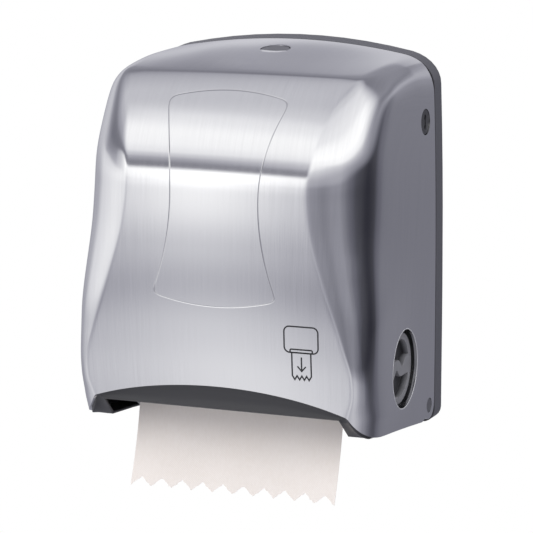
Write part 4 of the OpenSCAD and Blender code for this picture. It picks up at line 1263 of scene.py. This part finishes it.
def towel_grid():
    x = np.linspace(-HALF, HALF, TOWEL_COLS)
    out = ROLL_R + 0.8
    start = np.array([ROLL[0] + out * math.cos(WEB_UP), ROLL[1] - out * math.sin(WEB_UP)])
    held = [start + (on_drum(WEB_UP) - start) * i / ROWS_WEB for i in range(ROWS_WEB)]
    held += [on_drum(WEB_UP * (1 - i / ROWS_DRUM)) for i in range(ROWS_DRUM)]
    saw = 1 - np.abs(((x + HALF) / (2 * HALF) * TEETH) % 1.0 - 0.5) * 2
    ragged = 0.35 * np.sin(x * 1.7) + 0.25 * np.sin(x * 4.1 + 1)
    ends = 1 - np.clip((0.6 + TOOTH * saw + ragged) / DROP, 0, 1)
    t = np.linspace(0, 1, ROWS_FREE)[:, None] * ends[None]
    wave = 1.1 * t**1.5 * np.sin(x / 33 + 0.7)[None] + 0.5 * t * np.sin(x / 14 + 2.0 + 3 * t)
    curl = -1.6 * t * (np.abs(x) / HALF)[None]**6
    grid = np.zeros((len(held) + ROWS_FREE, TOWEL_COLS, 3))
    grid[:, :, 0] = x
    grid[:len(held), :, 1:] = np.array(held)[:, None]
    grid[len(held):, :, 1] = DRUM[0] - WEB_R - FORWARD * t**FORWARD_POWER + wave + curl
    grid[len(held):, :, 2] = DRUM[1] - DROP * t
    return grid


towel_points = towel_grid()
half_thick = np.cross(np.gradient(towel_points, axis=1), np.gradient(towel_points, axis=0))
half_thick *= THICK / 2 / np.linalg.norm(half_thick, axis=2, keepdims=True)
towel = outward(shell_mesh("hanging_towel", towel_points + half_thick, towel_points - half_thick))
smooth(towel, 60)
dress(towel, "chassis", "towel", "towel_sheet", "paper_web")

# %% [markdown]
# ## A printed sign
# Such dispensers carry a small sign that shows what to do. This one is a plain drawing of its own: a box, a
# sheet with a torn edge, and an arrow down. Each stroke is a narrow strip laid a hair above the skin.

# %% Strokes
def front_face(x, z):
    reach = float(edge_reach(90.0, z))
    return SEAM - reach - BOW_FRONT * (1 - (x / float(half_ribbon(90.0, z)))**2)


def stroke_outline(points, closed, width):
    """Left and right edges of a line of even width through flat points."""
    pts = [Vector(p) for p in points]
    n = len(pts)
    left, right = [], []
    for i, p in enumerate(pts):
        before = pts[i - 1] if closed or i else None
        after = pts[(i + 1) % n] if closed or i < n - 1 else None
        d1 = (p - before).normalized() if before is not None else (after - p).normalized()
        d2 = (after - p).normalized() if after is not None else d1
        m = Vector((-(d1.y + d2.y), d1.x + d2.x)).normalized()
        reach = width / 2 / max(0.5, m.dot(Vector((-d1.y, d1.x))))
        left.append(p + m * reach)
        right.append(p - m * reach)
    return left, right


def dense(points, closed, step=2.0):
    out = []
    for a, b in zip(points, points[1:] + (points[:1] if closed else [])):
        count = max(1, int(math.dist(a, b) / step))
        out += [tuple(u + (v - u) * i / count for u, v in zip(a, b)) for i in range(count)]
    return out if closed else out + [points[-1]]


def rounded_box(x0, x1, z0, z1, radius):
    quarter = math.pi / 2
    corners = [(x1 - radius, z1 - radius), (x0 + radius, z1 - radius), (x0 + radius, z0 + radius),
               (x1 - radius, z0 + radius)]
    return [(cx + u, cz + v) for i, (cx, cz) in enumerate(corners)
            for u, v in arc(radius, i * quarter, (i + 1) * quarter, 7)]


def printed(name, strokes, width, lift=0.10):
    points, faces = [], []
    for path, closed in strokes:
        path = dense(path, closed)
        base, count = len(points), len(path)
        for a, b in zip(*stroke_outline(path, closed, width)):
            for p, out in ((a, lift), (b, lift), (b, -lift), (a, -lift)):
                points.append((p.x, front_face(p.x, p.y) - out, p.y))
        for i in range(count if closed else count - 1):
            k, m = base + 4 * i, base + 4 * ((i + 1) % count)
            faces += [(k + e, k + (e + 1) % 4, m + (e + 1) % 4, m + e) for e in range(4)]
        if not closed:
            last = base + 4 * (count - 1)
            faces += [(base + 3, base + 2, base + 1, base), (last, last + 1, last + 2, last + 3)]
    return solid(name, points, faces)


print("strokes ready")

# %% Sign
BOX, SLOT, STROKE = (67, 99, -79, -55, 5), (72.5, 93.5, -79, -76, 1.2), 1.35
SHEET_LEFT, SHEET_WIDE, SHEET_TOP, SHEET_FOOT, NICKS = 74, 18, -79, -103, 8
ARROW_X, ARROW_TOP, ARROW_FOOT, ARROW_WING = 83, -83, -96, 4
ink = Finish("sign_ink", (0.02, 0.02, 0.022), 0.5)
ink.set("Base Color", ink.mix(ink.noise(900.0), (0.006, 0.006, 0.008), (0.02, 0.02, 0.024)))
torn = [(SHEET_LEFT + SHEET_WIDE * i / NICKS, SHEET_FOOT + (2.6, -1.0)[i % 2]) for i in range(NICKS + 1)]
sheet = [(SHEET_LEFT, SHEET_TOP)] + torn + [(SHEET_LEFT + SHEET_WIDE, SHEET_TOP)]
wings = [(ARROW_X + k * ARROW_WING, ARROW_FOOT + abs(k) * 4.5) for k in (-1, 0, 1)]
SIGN = [(rounded_box(*BOX), True), (rounded_box(*SLOT), True), (sheet, False),
        ([(ARROW_X, ARROW_TOP), (ARROW_X, ARROW_FOOT + 1)], False), (wings, False)]
sign = printed("printed_sign", SIGN, STROKE)
dress(sign, "cover", "dark_plastic", finish=ink.material)
print("sign faces:", len(sign.data.polygons))
